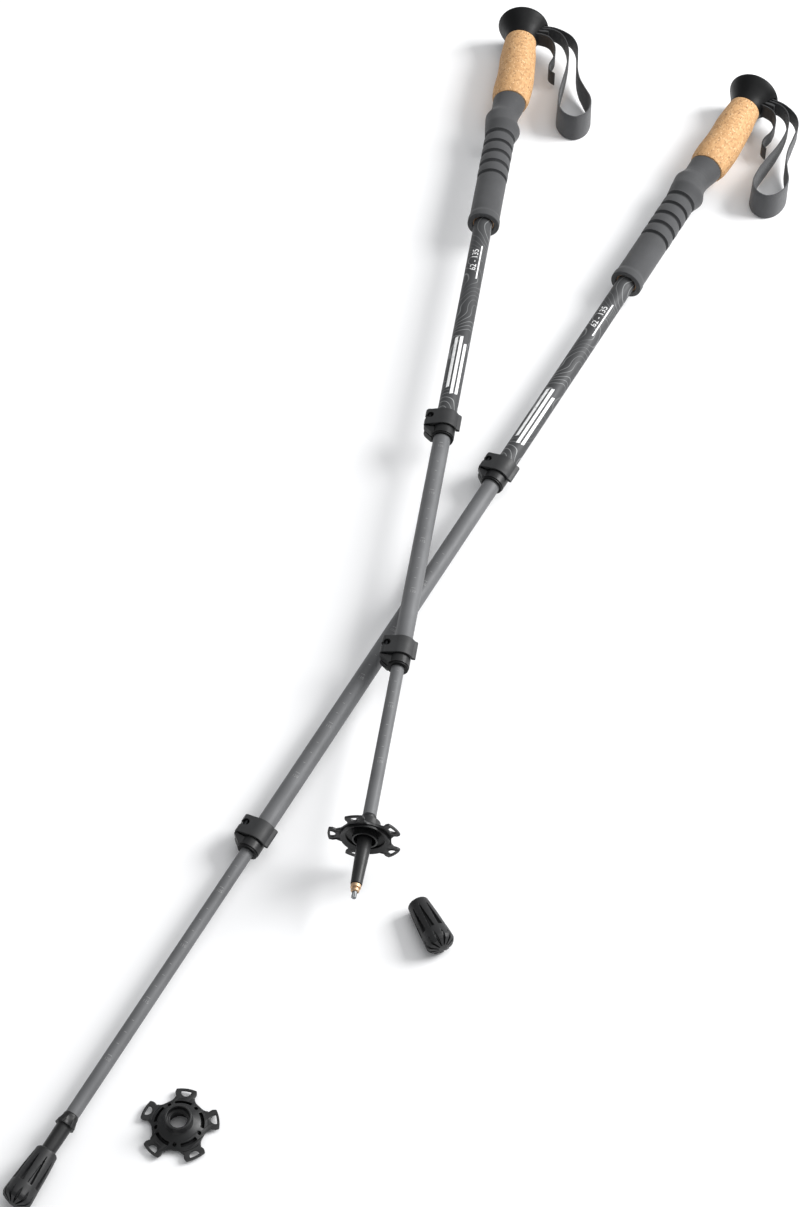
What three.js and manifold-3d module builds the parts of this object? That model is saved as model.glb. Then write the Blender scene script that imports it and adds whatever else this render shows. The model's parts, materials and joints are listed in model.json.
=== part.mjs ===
// A pair of three-section trekking poles, laid crossed on the ground, with one
// basket and one rubber foot lying loose beside them. Millimetres, +Z up.
// Each pole is modelled in its own frame: +Z runs along the pole from the head
// to the tip, +X points to the strap side of the grip and +Y points up.
// Stations along a pole are distances from its head reference.

import * as THREE from 'three';
import { mergeVertices } from 'three/addons/utils/BufferGeometryUtils.js';
import Module from 'manifold-3d';

const wasm = await Module();
wasm.setup();

// ---- driving dimensions ------------------------------------------------

const GAP = 0.3;
const ROUND = 16;

const UPPER_RADIUS = 8;
const MIDDLE_RADIUS = 7;
const LOWER_RADIUS = 5;
const UPPER_BORE = 7.4;
const MIDDLE_BORE = 6.3;
const LOWER_BORE = 4.3;

const RIM_STATION = 10;
const RIM_RADIUS = 23.2;
const POMMEL_END = 31;
const CORK_END = 116;
const FOAM_END = 275.5;
const UPPER_LOCK = 500.5;
const LOCK_LENGTH = 23;
const TUBE_INTO_LOCK = 19;
const MIDDLE_LENGTH = 480;
const LOWER_LENGTH = 420;

const FOOT_RADIUS = 10.7;
const FOOT_WIDEST = 66;
const FOOT_END = 72.5;
const FOOT_SHOULDER = { station: 44, radius: 9.2 };
const BASKET_RADIUS = 27.3;
const BASKET_BASE = 21;

// Plan position of each head reference, heading of the pole (turned from -Y
// towards -X), and the stations of its lower lock and of its tip ferrule.
const POLE_A = {
  name: 'pole_a',
  head: [113.5, 1891.3],
  heading: 8.75,
  lowerLock: 732.8,
  ferrule: 891.3,
};
const POLE_B = {
  name: 'pole_b',
  head: [322.2, 1798.2],
  heading: 28.33,
  lowerLock: 887.3,
  ferrule: 1146.5,
};
// Pole A passes over pole B, high enough for B's sections to slide beneath it.
const CROSSING_ON_A = 681.6;
const CROSSING_HEIGHT_A = 34.6;
POLE_A.slope = (CROSSING_HEIGHT_A - RIM_RADIUS) / (CROSSING_ON_A - RIM_STATION);
POLE_B.slope = (FOOT_RADIUS - RIM_RADIUS) / (POLE_B.ferrule + FOOT_WIDEST - RIM_STATION);

const LOOSE_BASKET = { at: [-149.5, 786], turn: -45.6 };
const LOOSE_FOOT = { treadAt: [30.6, 919.3], heading: -25.1 };

// ---- materials ---------------------------------------------------------

const finish = (color, roughness, metalness) => ({ color, roughness, metalness });
const BLACK_PLASTIC = finish(0x1b1c1d, 0.5, 0);
const GREY_PLASTIC = finish(0x3a3b3c, 0.5, 0);
const WEBBING = finish(0x2b2c2e, 0.9, 0);
const CORK = finish(0xd8a469, 0.85, 0);
const FOAM = finish(0x4b4c4f, 0.9, 0);
const DARK_TUBE = finish(0x4a4c4e, 0.4, 0.3);
const GREY_TUBE = finish(0x6c6e70, 0.4, 0.4);
const RUBBER = finish(0x333435, 0.85, 0);
const STEEL = finish(0x9a9c9e, 0.35, 1);
const BRASS = finish(0xc79a5a, 0.3, 1);
const CARBIDE = finish(0x8b9094, 0.35, 1);

// ---- geometry helpers --------------------------------------------------

const radians = THREE.MathUtils.degToRad;

// Signed volume of a triangle mesh: negative when its faces point inwards.
function signedVolume(position, index) {
  const a = new THREE.Vector3();
  const b = new THREE.Vector3();
  const c = new THREE.Vector3();
  let total = 0;
  for (let i = 0; i < index.count; i += 3) {
    a.fromBufferAttribute(position, index.getX(i));
    b.fromBufferAttribute(position, index.getX(i + 1));
    c.fromBufferAttribute(position, index.getX(i + 2));
    total += a.dot(b.cross(c)) / 6;
  }
  return total;
}

// Welds a geometry's shared vertices and turns its faces to point outwards.
function closed(geometry) {
  geometry.deleteAttribute('normal');
  geometry.deleteAttribute('uv');
  const welded = mergeVertices(geometry, 1e-4);
  const { position } = welded.attributes;
  const triangles = Array.from(welded.index.array);
  const kept = [];
  for (let i = 0; i < triangles.length; i += 3) {
    const [a, b, c] = triangles.slice(i, i + 3);
    if (a !== b && b !== c && c !== a) kept.push(a, b, c);
  }
  welded.setIndex(kept);
  if (signedVolume(position, welded.index) < 0) welded.setIndex(kept.reverse());
  return welded;
}

function toSolid(geometry) {
  const welded = closed(geometry);
  return new wasm.Manifold(new wasm.Mesh({
    numProp: 3,
    vertProperties: Float32Array.from(welded.attributes.position.array),
    triVerts: Uint32Array.from(welded.index.array),
  }));
}

function toGeometry(solid) {
  const mesh = solid.getMesh();
  const geometry = new THREE.BufferGeometry();
  geometry.setAttribute('position', new THREE.BufferAttribute(mesh.vertProperties, 3));
  geometry.setIndex(new THREE.BufferAttribute(mesh.triVerts, 1));
  return geometry;
}

// A turned shape about the pole's axis, from [radius, station] pairs. A ring's
// profile closes on itself; any other starts and ends on the axis.
function turned(profile, ring = false, segments = ROUND) {
  const points = profile.map(([radius, station]) => new THREE.Vector2(radius, station));
  if (ring) points.push(points[0].clone());
  return closed(new THREE.LatheGeometry(points, segments).rotateX(Math.PI / 2));
}

function tube(outer, inner, start, end) {
  return turned([[inner, start], [outer, start], [outer, end], [inner, end]], true);
}

function rod(radius, start, end, segments = 12) {
  return turned([[0, start], [radius, start], [radius, end], [0, end]], false, segments);
}

// A rod along Y (up), at x and at a station.
function uprightRod(radius, x, station, low, high) {
  return rod(radius, low, high).rotateX(-Math.PI / 2).translate(x, 0, station);
}

function block(x0, x1, y0, y1, z0, z1) {
  const box = new THREE.BoxGeometry(x1 - x0, y1 - y0, z1 - z0);
  return box.translate((x0 + x1) / 2, (y0 + y1) / 2, (z0 + z1) / 2);
}

function extruded(shape, start, end, curveSegments = 5) {
  const options = { depth: end - start, bevelEnabled: false, curveSegments };
  return new THREE.ExtrudeGeometry(shape, options).translate(0, 0, start);
}

// Moves the skin of a turned grip part sideways, leaving its round bore alone.
// rows holds [station, half width, sideways offset] down the grip.
function offsetSkin(geometry, rows, coreRadius) {
  const { position } = geometry.attributes;
  for (let i = 0; i < position.count; i++) {
    const radius = Math.hypot(position.getX(i), position.getY(i));
    if (radius > coreRadius) {
      const offset = valueAt(rows, position.getZ(i), 2);
      position.setX(i, position.getX(i) + offset);
    }
  }
  return geometry;
}

function valueAt(rows, station, column) {
  const after = rows.findIndex(([at]) => at >= station);
  if (after <= 0) return rows[after === 0 ? 0 : rows.length - 1][column];
  const [low, high] = [rows[after - 1], rows[after]];
  const share = (station - low[0]) / (high[0] - low[0]);
  return THREE.MathUtils.lerp(low[column], high[column], share);
}

function named(name, geometry, look) {
  const mesh = new THREE.Mesh(geometry, new THREE.MeshStandardMaterial(look));
  mesh.name = name;
  return mesh;
}

// ---- head: pommel, strap, wedge and pin --------------------------------

const GRIP_OFFSET = 2.1;
const PIN_X = 11;
const PIN_STATION = 20.5;
const PIN_RADIUS = 2;
const PIN_HALF_LENGTH = 10.5;
const SLOT = { x0: 5.6, x1: 40, half: 8.2, s0: 12, s1: 27.6 };

function pommel() {
  const rows = [[0, 0, GRIP_OFFSET], [POMMEL_END, 0, GRIP_OFFSET]];
  const skin = turned([
    [0, 2], [10, 2.9], [18, 5.2], [22, 7.6], [RIM_RADIUS, RIM_STATION],
    [22.6, 12.4], [19, 19], [16, 25.5], [14.3, POMMEL_END], [0, POMMEL_END],
  ]);
  const plug = rod(UPPER_BORE - 0.4, POMMEL_END - 1, POMMEL_END + 19, ROUND);
  const slot = block(SLOT.x0, SLOT.x1, -SLOT.half, SLOT.half, SLOT.s0, SLOT.s1);
  const pinHole = uprightRod(PIN_RADIUS + GAP, PIN_X, PIN_STATION,
    -PIN_HALF_LENGTH - GAP, PIN_HALF_LENGTH + GAP);
  const body = toSolid(offsetSkin(skin, rows, 0.01)).add(toSolid(plug));
  return toGeometry(body.subtract(toSolid(slot)).subtract(toSolid(pinHole)));
}

function strapPin() {
  return uprightRod(PIN_RADIUS, PIN_X, PIN_STATION, -PIN_HALF_LENGTH, PIN_HALF_LENGTH);
}

function strapWedge() {
  const profile = new THREE.Shape();
  profile.moveTo(15, 20.2);
  profile.lineTo(24.5, 19.5);
  profile.lineTo(26.5, 20.6);
  profile.lineTo(26.5, 22.3);
  profile.lineTo(15, 21.8);
  const height = 14.6;
  const wedge = extruded(profile, 0, height);
  return closed(wedge.rotateX(Math.PI / 2).translate(0, height / 2, 0));
}

const STRAP_THICKNESS = 1.4;
const STRAP_HALF_NARROW = 7;
const STRAP_HALF_WIDE = 13.5;
const STRAP_STEPS = 60;
const STRAP_CLEARANCE = 0.7;

// The strap's route in plan, as [x, station, spread, drop]: spread runs from 0
// on the narrow webbing to 1 on the wide wrist part, and drop from 0 at the
// slot's height to 1 on the ground.
const STRAP_ROUTE = [
  [12, 14.2, 0, 0], [22, 14, 0, 0], [30, 14.2, 0, 0], [39.5, 16.8, 0, 0.05],
  [48.5, 22.7, 0, 0.1], [54, 31.9, 0.05, 0.2], [56.2, 46.3, 0.2, 0.35],
  [57.8, 60.8, 0.45, 0.6], [61.5, 74.3, 0.7, 0.8], [68.2, 87.9, 0.9, 0.95],
  [73.6, 98.5, 1, 1], [75.2, 109.2, 1, 1], [71.9, 121, 1, 1], [63.7, 127.4, 1, 1],
  [54.2, 125, 1, 1], [47.2, 115.6, 1, 1], [45.2, 98.9, 1, 1], [46, 81.2, 0.8, 0.85],
  [47.6, 61.6, 0.45, 0.6], [47.6, 44, 0.15, 0.3], [44.6, 31, 0, 0.15],
  [39, 22, 0, 0.05], [31, 17.3, 0, 0], [21, 16.6, 0, 0], [14, 16.6, 0, 0],
  [9, 17.15, 0, 0], [7.1, 20.5, 0, 0], [9, 23.85, 0, 0], [14, 24.6, 0, 0],
  [20, 24.9, 0, 0], [28, 27.2, 0, 0.05], [33.6, 34.5, 0, 0.2], [34.7, 44.5, 0, 0.45],
  [31.6, 53, 0, 0.65], [32.4, 58.8, 0, 0.75], [37.4, 62.3, 0, 0.8],
];

// Webbing standing on edge: a long box whose cross-sections follow the route.
function strap(pole) {
  const centres = STRAP_ROUTE.map(([x, station, spread, drop]) => {
    const half = THREE.MathUtils.lerp(STRAP_HALF_NARROW, STRAP_HALF_WIDE, spread);
    const ground = -axisHeight(pole, station) + half + STRAP_CLEARANCE;
    return new THREE.Vector3(x, THREE.MathUtils.lerp(0, ground, drop), station);
  });
  const halves = STRAP_ROUTE.map(([, , spread]) => {
    const half = THREE.MathUtils.lerp(STRAP_HALF_NARROW, STRAP_HALF_WIDE, spread);
    return new THREE.Vector3(half, 0, 0);
  });
  const route = new THREE.CatmullRomCurve3(centres);
  const halfWidths = new THREE.CatmullRomCurve3(halves);
  const ribbon = new THREE.BoxGeometry(1, 1, 1, STRAP_STEPS, 1, 1);
  const { position } = ribbon.attributes;
  for (let i = 0; i < position.count; i++) {
    const share = THREE.MathUtils.clamp(position.getX(i) + 0.5, 0, 1);
    const centre = route.getPoint(share);
    const tangent = route.getTangent(share);
    const side = new THREE.Vector3(tangent.z, 0, -tangent.x).normalize();
    centre.addScaledVector(side, position.getZ(i) * STRAP_THICKNESS);
    centre.y += position.getY(i) * 2 * halfWidths.getPoint(share).x;
    position.setXYZ(i, centre.x, centre.y, centre.z);
  }
  return closed(ribbon);
}

// ---- grip: cork and foam -----------------------------------------------

const GRIP_BORE = 8.35;

// [station, half width, sideways offset]
const CORK_ROWS = [
  [POMMEL_END + GAP, 14.3, 2.1], [40, 14.9, 2.1], [50, 15.9, 2.6], [60, 16.4, 2.8],
  [70, 16.5, 3.4], [82, 16.8, 3.8], [92, 17.2, 3.6], [102, 17.2, 3.1],
  [110, 16.7, 3], [CORK_END, 15.3, 2.8],
];
const NECK_ROWS = [
  [CORK_END + GAP, 14.6, 2.3], [122, 14, 1.9], [129, 12.9, 1.1], [135, 12.9, 0],
  [140, 14.1, -1.1], [146, 15, -0.9], [155, 15.7, 0.7], [162, 14.2, 0.7],
];
const FOAM_RADIUS = 13;
const GROOVES = { count: 5, first: 166.8, pitch: 13.2, width: 2.2, depth: 1.1 };

function corkGrip() {
  const skin = CORK_ROWS.map(([station, half]) => [half, station]);
  const [start] = CORK_ROWS[0];
  const profile = [[GRIP_BORE, start], ...skin, [GRIP_BORE, CORK_END]];
  return offsetSkin(turned(profile, true), CORK_ROWS, GRIP_BORE + 1);
}

function foamGrip() {
  const skin = NECK_ROWS.map(([station, half]) => [half, station]);
  for (let i = 0; i < GROOVES.count; i++) {
    const station = GROOVES.first + i * GROOVES.pitch;
    skin.push([FOAM_RADIUS, station - GROOVES.width / 2]);
    skin.push([FOAM_RADIUS - GROOVES.depth, station]);
    skin.push([FOAM_RADIUS, station + GROOVES.width / 2]);
  }
  skin.push([FOAM_RADIUS, 266], [13.8, 269], [13.8, FOAM_END]);
  const recess = [[9.4, FOAM_END], [9.4, 270.5], [GRIP_BORE, 270.5]];
  const [start] = NECK_ROWS[0];
  const rows = [...NECK_ROWS, [GROOVES.first, 0, 0.3], [266, 0, 0.3], [FOAM_END, 0, 0.1]];
  return offsetSkin(turned([[GRIP_BORE, start], ...skin, ...recess], true), rows, 10);
}

// ---- flip lock: clamp, lever, pivot, screw and bushing -----------------

const LOCK_WALL = 1.4;
const EAR_REACH = 6.5;
const EAR_DEPTH = 6.6;
const SLIT_HALF = 0.6;
const LEVER_LENGTH = 15.9;
const HUB_RADIUS = 3.7;
const PIVOT_RADIUS = 2.1;
const SCREW_RADIUS = 1.25;
const HOLE_SLACK = 0.35;
const SCREW_AT = 8.1;

// Everything about one lock follows from the tube that it sits on.
function lockSizes(tubeRadius) {
  const ring = tubeRadius + LOCK_WALL;
  return {
    bore: tubeRadius + GAP,
    ring,
    bandIn: ring + 0.4,
    bandOut: ring + 2.1,
    earX: -ring - EAR_REACH,
    pivotX: -ring - 3.2,
    pivotY: ring * 0.22 + 2.5,
  };
}

function clamp(tubeRadius) {
  const { bore, ring, earX, pivotX } = lockSizes(tubeRadius);
  const outer = new THREE.Shape();
  outer.moveTo(earX, -SLIT_HALF);
  outer.lineTo(earX, -EAR_DEPTH);
  outer.absarc(0, 0, ring, Math.PI + Math.asin(EAR_DEPTH / ring),
    3 * Math.PI - Math.asin(SLIT_HALF / ring), false);
  outer.absarc(0, 0, bore, Math.PI - Math.asin(SLIT_HALF / bore),
    -Math.PI + Math.asin(SLIT_HALF / bore), true);
  const upperEar = block(earX, -ring + 2.5, SLIT_HALF, EAR_DEPTH - 0.4,
    LEVER_LENGTH + 0.8, LOCK_LENGTH);
  const boreTool = rod(bore, -1, LOCK_LENGTH + 1, ROUND);
  const screwHole = uprightRod(SCREW_RADIUS + HOLE_SLACK, pivotX, SCREW_AT, -10, 0);
  const body = toSolid(extruded(outer, 0, LOCK_LENGTH, 12));
  const ear = toSolid(upperEar).subtract(toSolid(boreTool));
  return toGeometry(body.add(ear).subtract(toSolid(screwHole)));
}

function lever(tubeRadius) {
  const { bandIn, bandOut, pivotX, pivotY } = lockSizes(tubeRadius);
  const tip = radians(14);
  const shape = new THREE.Shape();
  shape.moveTo(bandOut + 0.5, bandOut * 0.16);
  shape.absarc(0, 0, bandOut, tip + 0.12, radians(116), false);
  shape.absarc(pivotX, pivotY, HUB_RADIUS, radians(75), radians(330), false);
  shape.absarc(0, 0, bandIn, radians(160), tip, true);
  const hub = rod(PIVOT_RADIUS + HOLE_SLACK, -1, LEVER_LENGTH + 1);
  const slot = block(pivotX - 8, pivotX + 1.9, pivotY - 8, pivotY + 8,
    SCREW_AT - 2.1, SCREW_AT + 2.1);
  return toGeometry(toSolid(extruded(shape, 0, LEVER_LENGTH))
    .subtract(toSolid(hub.translate(pivotX, pivotY, 0)))
    .subtract(toSolid(slot)));
}

function pivot(tubeRadius) {
  const { pivotX, pivotY } = lockSizes(tubeRadius);
  const barrel = rod(PIVOT_RADIUS, 0.2, LEVER_LENGTH - 0.2).translate(pivotX, pivotY, 0);
  const hole = uprightRod(SCREW_RADIUS + HOLE_SLACK, pivotX, SCREW_AT, 0, 12);
  return toGeometry(toSolid(barrel).subtract(toSolid(hole)));
}

function tensionScrew(tubeRadius) {
  const { pivotX, pivotY } = lockSizes(tubeRadius);
  const top = pivotY + PIVOT_RADIUS - 0.4;
  const seat = -EAR_DEPTH - GAP;
  const screw = turned([[0, seat - 1.3], [2.6, seat - 1.3], [2.6, seat],
    [SCREW_RADIUS, seat], [SCREW_RADIUS, top], [0, top]], false, 12);
  return screw.rotateX(-Math.PI / 2).translate(pivotX, 0, SCREW_AT);
}

function bushing(tubeRadius, innerRadius) {
  const { bore, ring } = lockSizes(tubeRadius);
  const inner = innerRadius + GAP;
  const flange = LOCK_LENGTH + GAP;
  return turned([[inner, TUBE_INTO_LOCK + GAP], [bore - GAP, TUBE_INTO_LOCK + GAP],
    [bore - GAP, flange], [ring - 0.4, flange], [ring - 0.4, flange + 1.4],
    [inner, flange + 1.4]], true);
}

function lock(prefix, tubeRadius, innerRadius, station) {
  const group = new THREE.Group();
  group.position.z = station;
  group.add(
    named(`${prefix}_clamp`, clamp(tubeRadius), BLACK_PLASTIC),
    named(`${prefix}_lever`, lever(tubeRadius), BLACK_PLASTIC),
    named(`${prefix}_pivot`, pivot(tubeRadius), STEEL),
    named(`${prefix}_screw`, tensionScrew(tubeRadius), STEEL),
    named(`${prefix}_bushing`, bushing(tubeRadius, innerRadius), BLACK_PLASTIC),
  );
  return group;
}

// The plastic guide plugged into the upper end of a sliding tube.
function guide(bore, headRadius, end) {
  const spigot = bore - 0.4;
  return turned([[0, end - 6], [headRadius, end - 6], [headRadius, end - GAP],
    [spigot, end - GAP], [spigot, end + 18], [0, end + 18]], false, 16);
}

// ---- tip: ferrule, brass collar, carbide, basket and foot --------------

// Stations below are measured from the top of the ferrule's collar.
const SHAFT_END = 58;

function tipFerrule() {
  return turned([
    [0, -24], [LOWER_BORE - 0.4, -24], [LOWER_BORE - 0.4, 0], [5.3, 0], [5.9, 3],
    [7.4, 7.4], [7.5, 8.6], [7.1, 9], [5.5, 9], [5.2, 30], [4.2, SHAFT_END],
    [2.1, SHAFT_END], [2.1, SHAFT_END - 8], [0, SHAFT_END - 8],
  ]);
}

function tipCollar() {
  const start = SHAFT_END + GAP;
  return turned([[2.1, start], [3.9, start], [3.9, 61.4], [3.2, 61.9], [3.2, 63.6],
    [2.9, 65], [2.1, 65.6]], true, 16);
}

function carbideTip() {
  return turned([[0, SHAFT_END - 7.7], [1.8, SHAFT_END - 7.7], [1.8, 68.9],
    [1.3, 69.3], [0, 69.3]], false, 12);
}

const SLOT_HALF_ANGLE = 21 * Math.PI / 180;
const STAR = { arms: 5, plateTop: 17.2, plateEnd: 19, valley: 18.8, neck: 21.5, dome: 18.8 };

// One arm's outline: a concave valley, a straight neck and a rounded outer edge.
function starOutline() {
  const outline = new THREE.Shape();
  const at = (radius, angle) => [radius * Math.cos(angle), radius * Math.sin(angle)];
  const pitch = 2 * Math.PI / STAR.arms;
  outline.moveTo(...at(STAR.valley, Math.PI - pitch / 2));
  for (let i = 0; i < STAR.arms; i++) {
    const arm = Math.PI + i * pitch;
    const neck = radians(18);
    const edge = radians(15);
    outline.quadraticCurveTo(...at(STAR.valley, arm - neck * 1.25),
      ...at(STAR.neck, arm - neck));
    outline.lineTo(...at(BASKET_RADIUS - 1.2, arm - neck * 0.96));
    outline.absarc(0, 0, BASKET_RADIUS, arm - edge, arm + edge, false);
    outline.lineTo(...at(BASKET_RADIUS - 1.2, arm + neck * 0.96));
    outline.lineTo(...at(STAR.neck, arm + neck));
    outline.quadraticCurveTo(...at(STAR.valley, arm + neck * 1.25),
      ...at(STAR.valley, arm + pitch / 2));
  }
  return outline;
}

function armAngle(index) {
  return Math.PI + index * 2 * Math.PI / STAR.arms;
}

function armEye(index) {
  const arm = armAngle(index);
  const eye = new THREE.Path();
  eye.absarc(25 * Math.cos(arm), 25 * Math.sin(arm), 3.6,
    arm + Math.PI / 2, arm + 3 * Math.PI / 2, false);
  return eye;
}

function domeSlot(index) {
  const arm = armAngle(index);
  const slot = new THREE.Shape();
  slot.absarc(0, 0, 15.2, arm - SLOT_HALF_ANGLE, arm + SLOT_HALF_ANGLE, false);
  slot.absarc(0, 0, 16.9, arm + SLOT_HALF_ANGLE, arm - SLOT_HALF_ANGLE, true);
  return slot;
}

// A star of flat arms round a slotted dome, with a hub ring that grips the ferrule.
function basket() {
  const outline = starOutline();
  const indices = [...Array(STAR.arms).keys()];
  outline.holes.push(...indices.map(armEye));
  const arms = toSolid(extruded(outline, STAR.plateTop, STAR.plateEnd, 3));
  const middle = toSolid(rod(STAR.dome - 0.4, 0, 40, 40));
  const dome = toSolid(turned([
    [8.6, 10.6], [11, 11.4], [STAR.dome, STAR.plateTop], [STAR.dome, STAR.plateEnd],
    [STAR.dome - 0.8, STAR.plateEnd], [11, 13.4], [8.6, 13.4],
  ], true, 40));
  const slots = toSolid(extruded(indices.map(domeSlot), 8, 22, 4));
  const hub = toSolid(turned([
    [7.8, 5], [9.2, 5], [9.5, 10.6], [9.4, BASKET_BASE], [8, BASKET_BASE],
    [8, 12.4], [5.9, 12.4], [5.9, 9.4], [7.8, 9.4],
  ], true));
  return toGeometry(arms.subtract(middle).add(dome.subtract(slots)).add(hub));
}

function rubberFoot() {
  return turned([
    [0, 69.8], [2.3, 69.8], [2.3, 66.4], [4.3, 66.1], [4.8, 58.5], [5.8, 29.6],
    [7, 29.6], [7.9, 30.6], [FOOT_SHOULDER.radius, FOOT_SHOULDER.station],
    [FOOT_RADIUS, FOOT_WIDEST],
    [8.6, 70.6], [0, FOOT_END],
  ]);
}

// ---- assembly ----------------------------------------------------------

function axisHeight(pole, station) {
  return RIM_RADIUS + pole.slope * (station - RIM_STATION);
}

// Turns a group so that its +Z runs at a heading and slope, with +Y upwards.
function aim(group, heading, slope) {
  const turn = radians(heading);
  const along = new THREE.Vector3(-Math.sin(turn), -Math.cos(turn), slope).normalize();
  const right = new THREE.Vector3(Math.cos(turn), -Math.sin(turn), 0);
  const up = new THREE.Vector3().crossVectors(along, right);
  group.quaternion.setFromRotationMatrix(new THREE.Matrix4().makeBasis(right, up, along));
}

function upperSection(pole) {
  const name = (piece) => `${pole.name}_${piece}`;
  const group = new THREE.Group();
  const tubeStart = POMMEL_END + GAP;
  group.add(
    named(name('pommel'), pommel(), BLACK_PLASTIC),
    named(name('strap_pin'), strapPin(), STEEL),
    named(name('strap_wedge'), strapWedge(), GREY_PLASTIC),
    named(name('strap'), strap(pole), WEBBING),
    named(name('cork_grip'), corkGrip(), CORK),
    named(name('foam_grip'), foamGrip(), FOAM),
    named(name('upper_tube'),
      tube(UPPER_RADIUS, UPPER_BORE, tubeStart, UPPER_LOCK + TUBE_INTO_LOCK), DARK_TUBE),
    lock(name('upper'), UPPER_RADIUS, MIDDLE_RADIUS, UPPER_LOCK),
  );
  return group;
}

function middleSection(pole) {
  const name = (piece) => `${pole.name}_${piece}`;
  const group = new THREE.Group();
  const end = pole.lowerLock + TUBE_INTO_LOCK;
  const start = end - MIDDLE_LENGTH;
  group.add(
    named(name('middle_tube'), tube(MIDDLE_RADIUS, MIDDLE_BORE, start, end), GREY_TUBE),
    named(name('middle_guide'), guide(MIDDLE_BORE, 6.9, start), GREY_PLASTIC),
    lock(name('lower'), MIDDLE_RADIUS, LOWER_RADIUS, pole.lowerLock),
  );
  return group;
}

function lowerSection(pole) {
  const name = (piece) => `${pole.name}_${piece}`;
  const group = new THREE.Group();
  const end = pole.ferrule - GAP;
  const start = end - LOWER_LENGTH;
  const tip = new THREE.Group();
  tip.position.z = pole.ferrule;
  tip.add(
    named(name('tip_ferrule'), tipFerrule(), GREY_PLASTIC),
    named(name('tip_collar'), tipCollar(), BRASS),
    named(name('carbide_tip'), carbideTip(), CARBIDE),
  );
  if (pole === POLE_A) tip.add(named('mounted_basket', basket(), BLACK_PLASTIC));
  if (pole === POLE_B) tip.add(named('mounted_rubber_foot', rubberFoot(), RUBBER));
  group.add(
    named(name('lower_tube'), tube(LOWER_RADIUS, LOWER_BORE, start, end), GREY_TUBE),
    named(name('lower_guide'), guide(LOWER_BORE, 5.9, start), GREY_PLASTIC),
    tip,
  );
  return group;
}

function laidPole(pole) {
  const group = new THREE.Group();
  group.name = pole.name;
  aim(group, pole.heading, pole.slope);
  group.position.set(...pole.head, axisHeight(pole, 0));
  group.add(upperSection(pole), middleSection(pole), lowerSection(pole));
  return group;
}

// The spare basket lies flat with its hub up.
function looseBasket() {
  const mesh = named('loose_basket', basket(), BLACK_PLASTIC);
  mesh.rotation.set(Math.PI, 0, radians(LOOSE_BASKET.turn));
  mesh.position.set(...LOOSE_BASKET.at, BASKET_BASE);
  return mesh;
}

// The spare rubber foot lies on its tapered side.
function looseFoot() {
  const group = new THREE.Group();
  const slope = (FOOT_RADIUS - FOOT_SHOULDER.radius) / (FOOT_WIDEST - FOOT_SHOULDER.station);
  aim(group, LOOSE_FOOT.heading, slope);
  const along = new THREE.Vector3(0, 0, 1).applyQuaternion(group.quaternion);
  const treadHeight = FOOT_RADIUS + slope * (FOOT_END - FOOT_WIDEST);
  group.position.set(...LOOSE_FOOT.treadAt, treadHeight).addScaledVector(along, -FOOT_END);
  group.add(named('loose_rubber_foot', rubberFoot(), RUBBER));
  return group;
}

// The set's origin is the middle of its footprint, on the ground.
const layout = new THREE.Group();
layout.name = 'layout';
layout.add(laidPole(POLE_A), laidPole(POLE_B), looseBasket(), looseFoot());
const box = new THREE.Box3().setFromObject(layout, true);
layout.position.set(-(box.min.x + box.max.x) / 2, -(box.min.y + box.max.y) / 2, -box.min.z);

const group = new THREE.Group();
group.add(layout);

export default group;
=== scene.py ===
"""Looks for a pair of trekking poles, laid crossed with a spare basket and a spare rubber foot.

Meshes are built in millimetres in the frame of the pole that they belong to (X to the strap
side, Y up, Z from head to tip), and place() brings them to metres and to their resting place.
"""

import json
from contextlib import contextmanager
from math import asin, atan2, cos, degrees, dist, hypot, pi, radians, sin
from types import SimpleNamespace as Sizes

import bmesh
import bpy
from mathutils import Matrix, Vector
from mathutils.geometry import tessellate_polygon


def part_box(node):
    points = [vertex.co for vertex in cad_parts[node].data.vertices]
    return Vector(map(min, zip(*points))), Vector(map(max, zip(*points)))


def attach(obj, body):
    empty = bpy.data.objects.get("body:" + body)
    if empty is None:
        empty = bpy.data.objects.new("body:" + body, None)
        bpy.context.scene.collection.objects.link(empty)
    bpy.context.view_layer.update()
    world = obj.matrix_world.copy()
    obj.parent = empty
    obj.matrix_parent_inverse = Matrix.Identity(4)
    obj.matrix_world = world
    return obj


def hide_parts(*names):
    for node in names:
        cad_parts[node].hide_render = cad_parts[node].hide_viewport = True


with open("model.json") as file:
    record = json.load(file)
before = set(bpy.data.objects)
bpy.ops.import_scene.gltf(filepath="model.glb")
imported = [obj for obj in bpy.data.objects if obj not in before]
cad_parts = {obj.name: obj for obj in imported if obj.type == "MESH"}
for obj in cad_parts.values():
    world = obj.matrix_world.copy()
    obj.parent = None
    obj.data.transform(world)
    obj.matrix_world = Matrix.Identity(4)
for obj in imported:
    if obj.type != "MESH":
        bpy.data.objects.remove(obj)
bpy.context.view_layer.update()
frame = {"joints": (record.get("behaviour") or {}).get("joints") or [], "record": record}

MM = 0.001
SEGMENTS = 96
JOINTS = {joint["name"]: joint for joint in frame["joints"]}
SCENE = bpy.context.scene

# ---- driving dimensions, in millimetres ----

UPPER_RADIUS, UPPER_BORE = 8.0, 7.4
MIDDLE_RADIUS, MIDDLE_BORE = 7.0, 6.3
LOWER_RADIUS, LOWER_BORE = 5.0, 4.3
POMMEL_END = 31.0
CORK_END = 116.0
FOAM_END = 275.5
UPPER_LOCK = 500.5
LOCK_LENGTH = 23.0
TUBE_INTO_LOCK = 19.0
MIDDLE_LENGTH = 480.0
LOWER_LENGTH = 420.0
GAP = 0.3
GRIP_BORE = 8.35
GRIP_OFFSET = 2.1
PIN = Sizes(x=11.0, station=20.5, radius=2.0, half=10.5)
LOWER_LOCK = {"pole_a": 732.8, "pole_b": 887.3}
FERRULE = {"pole_a": 891.3, "pole_b": 1146.5}


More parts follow.
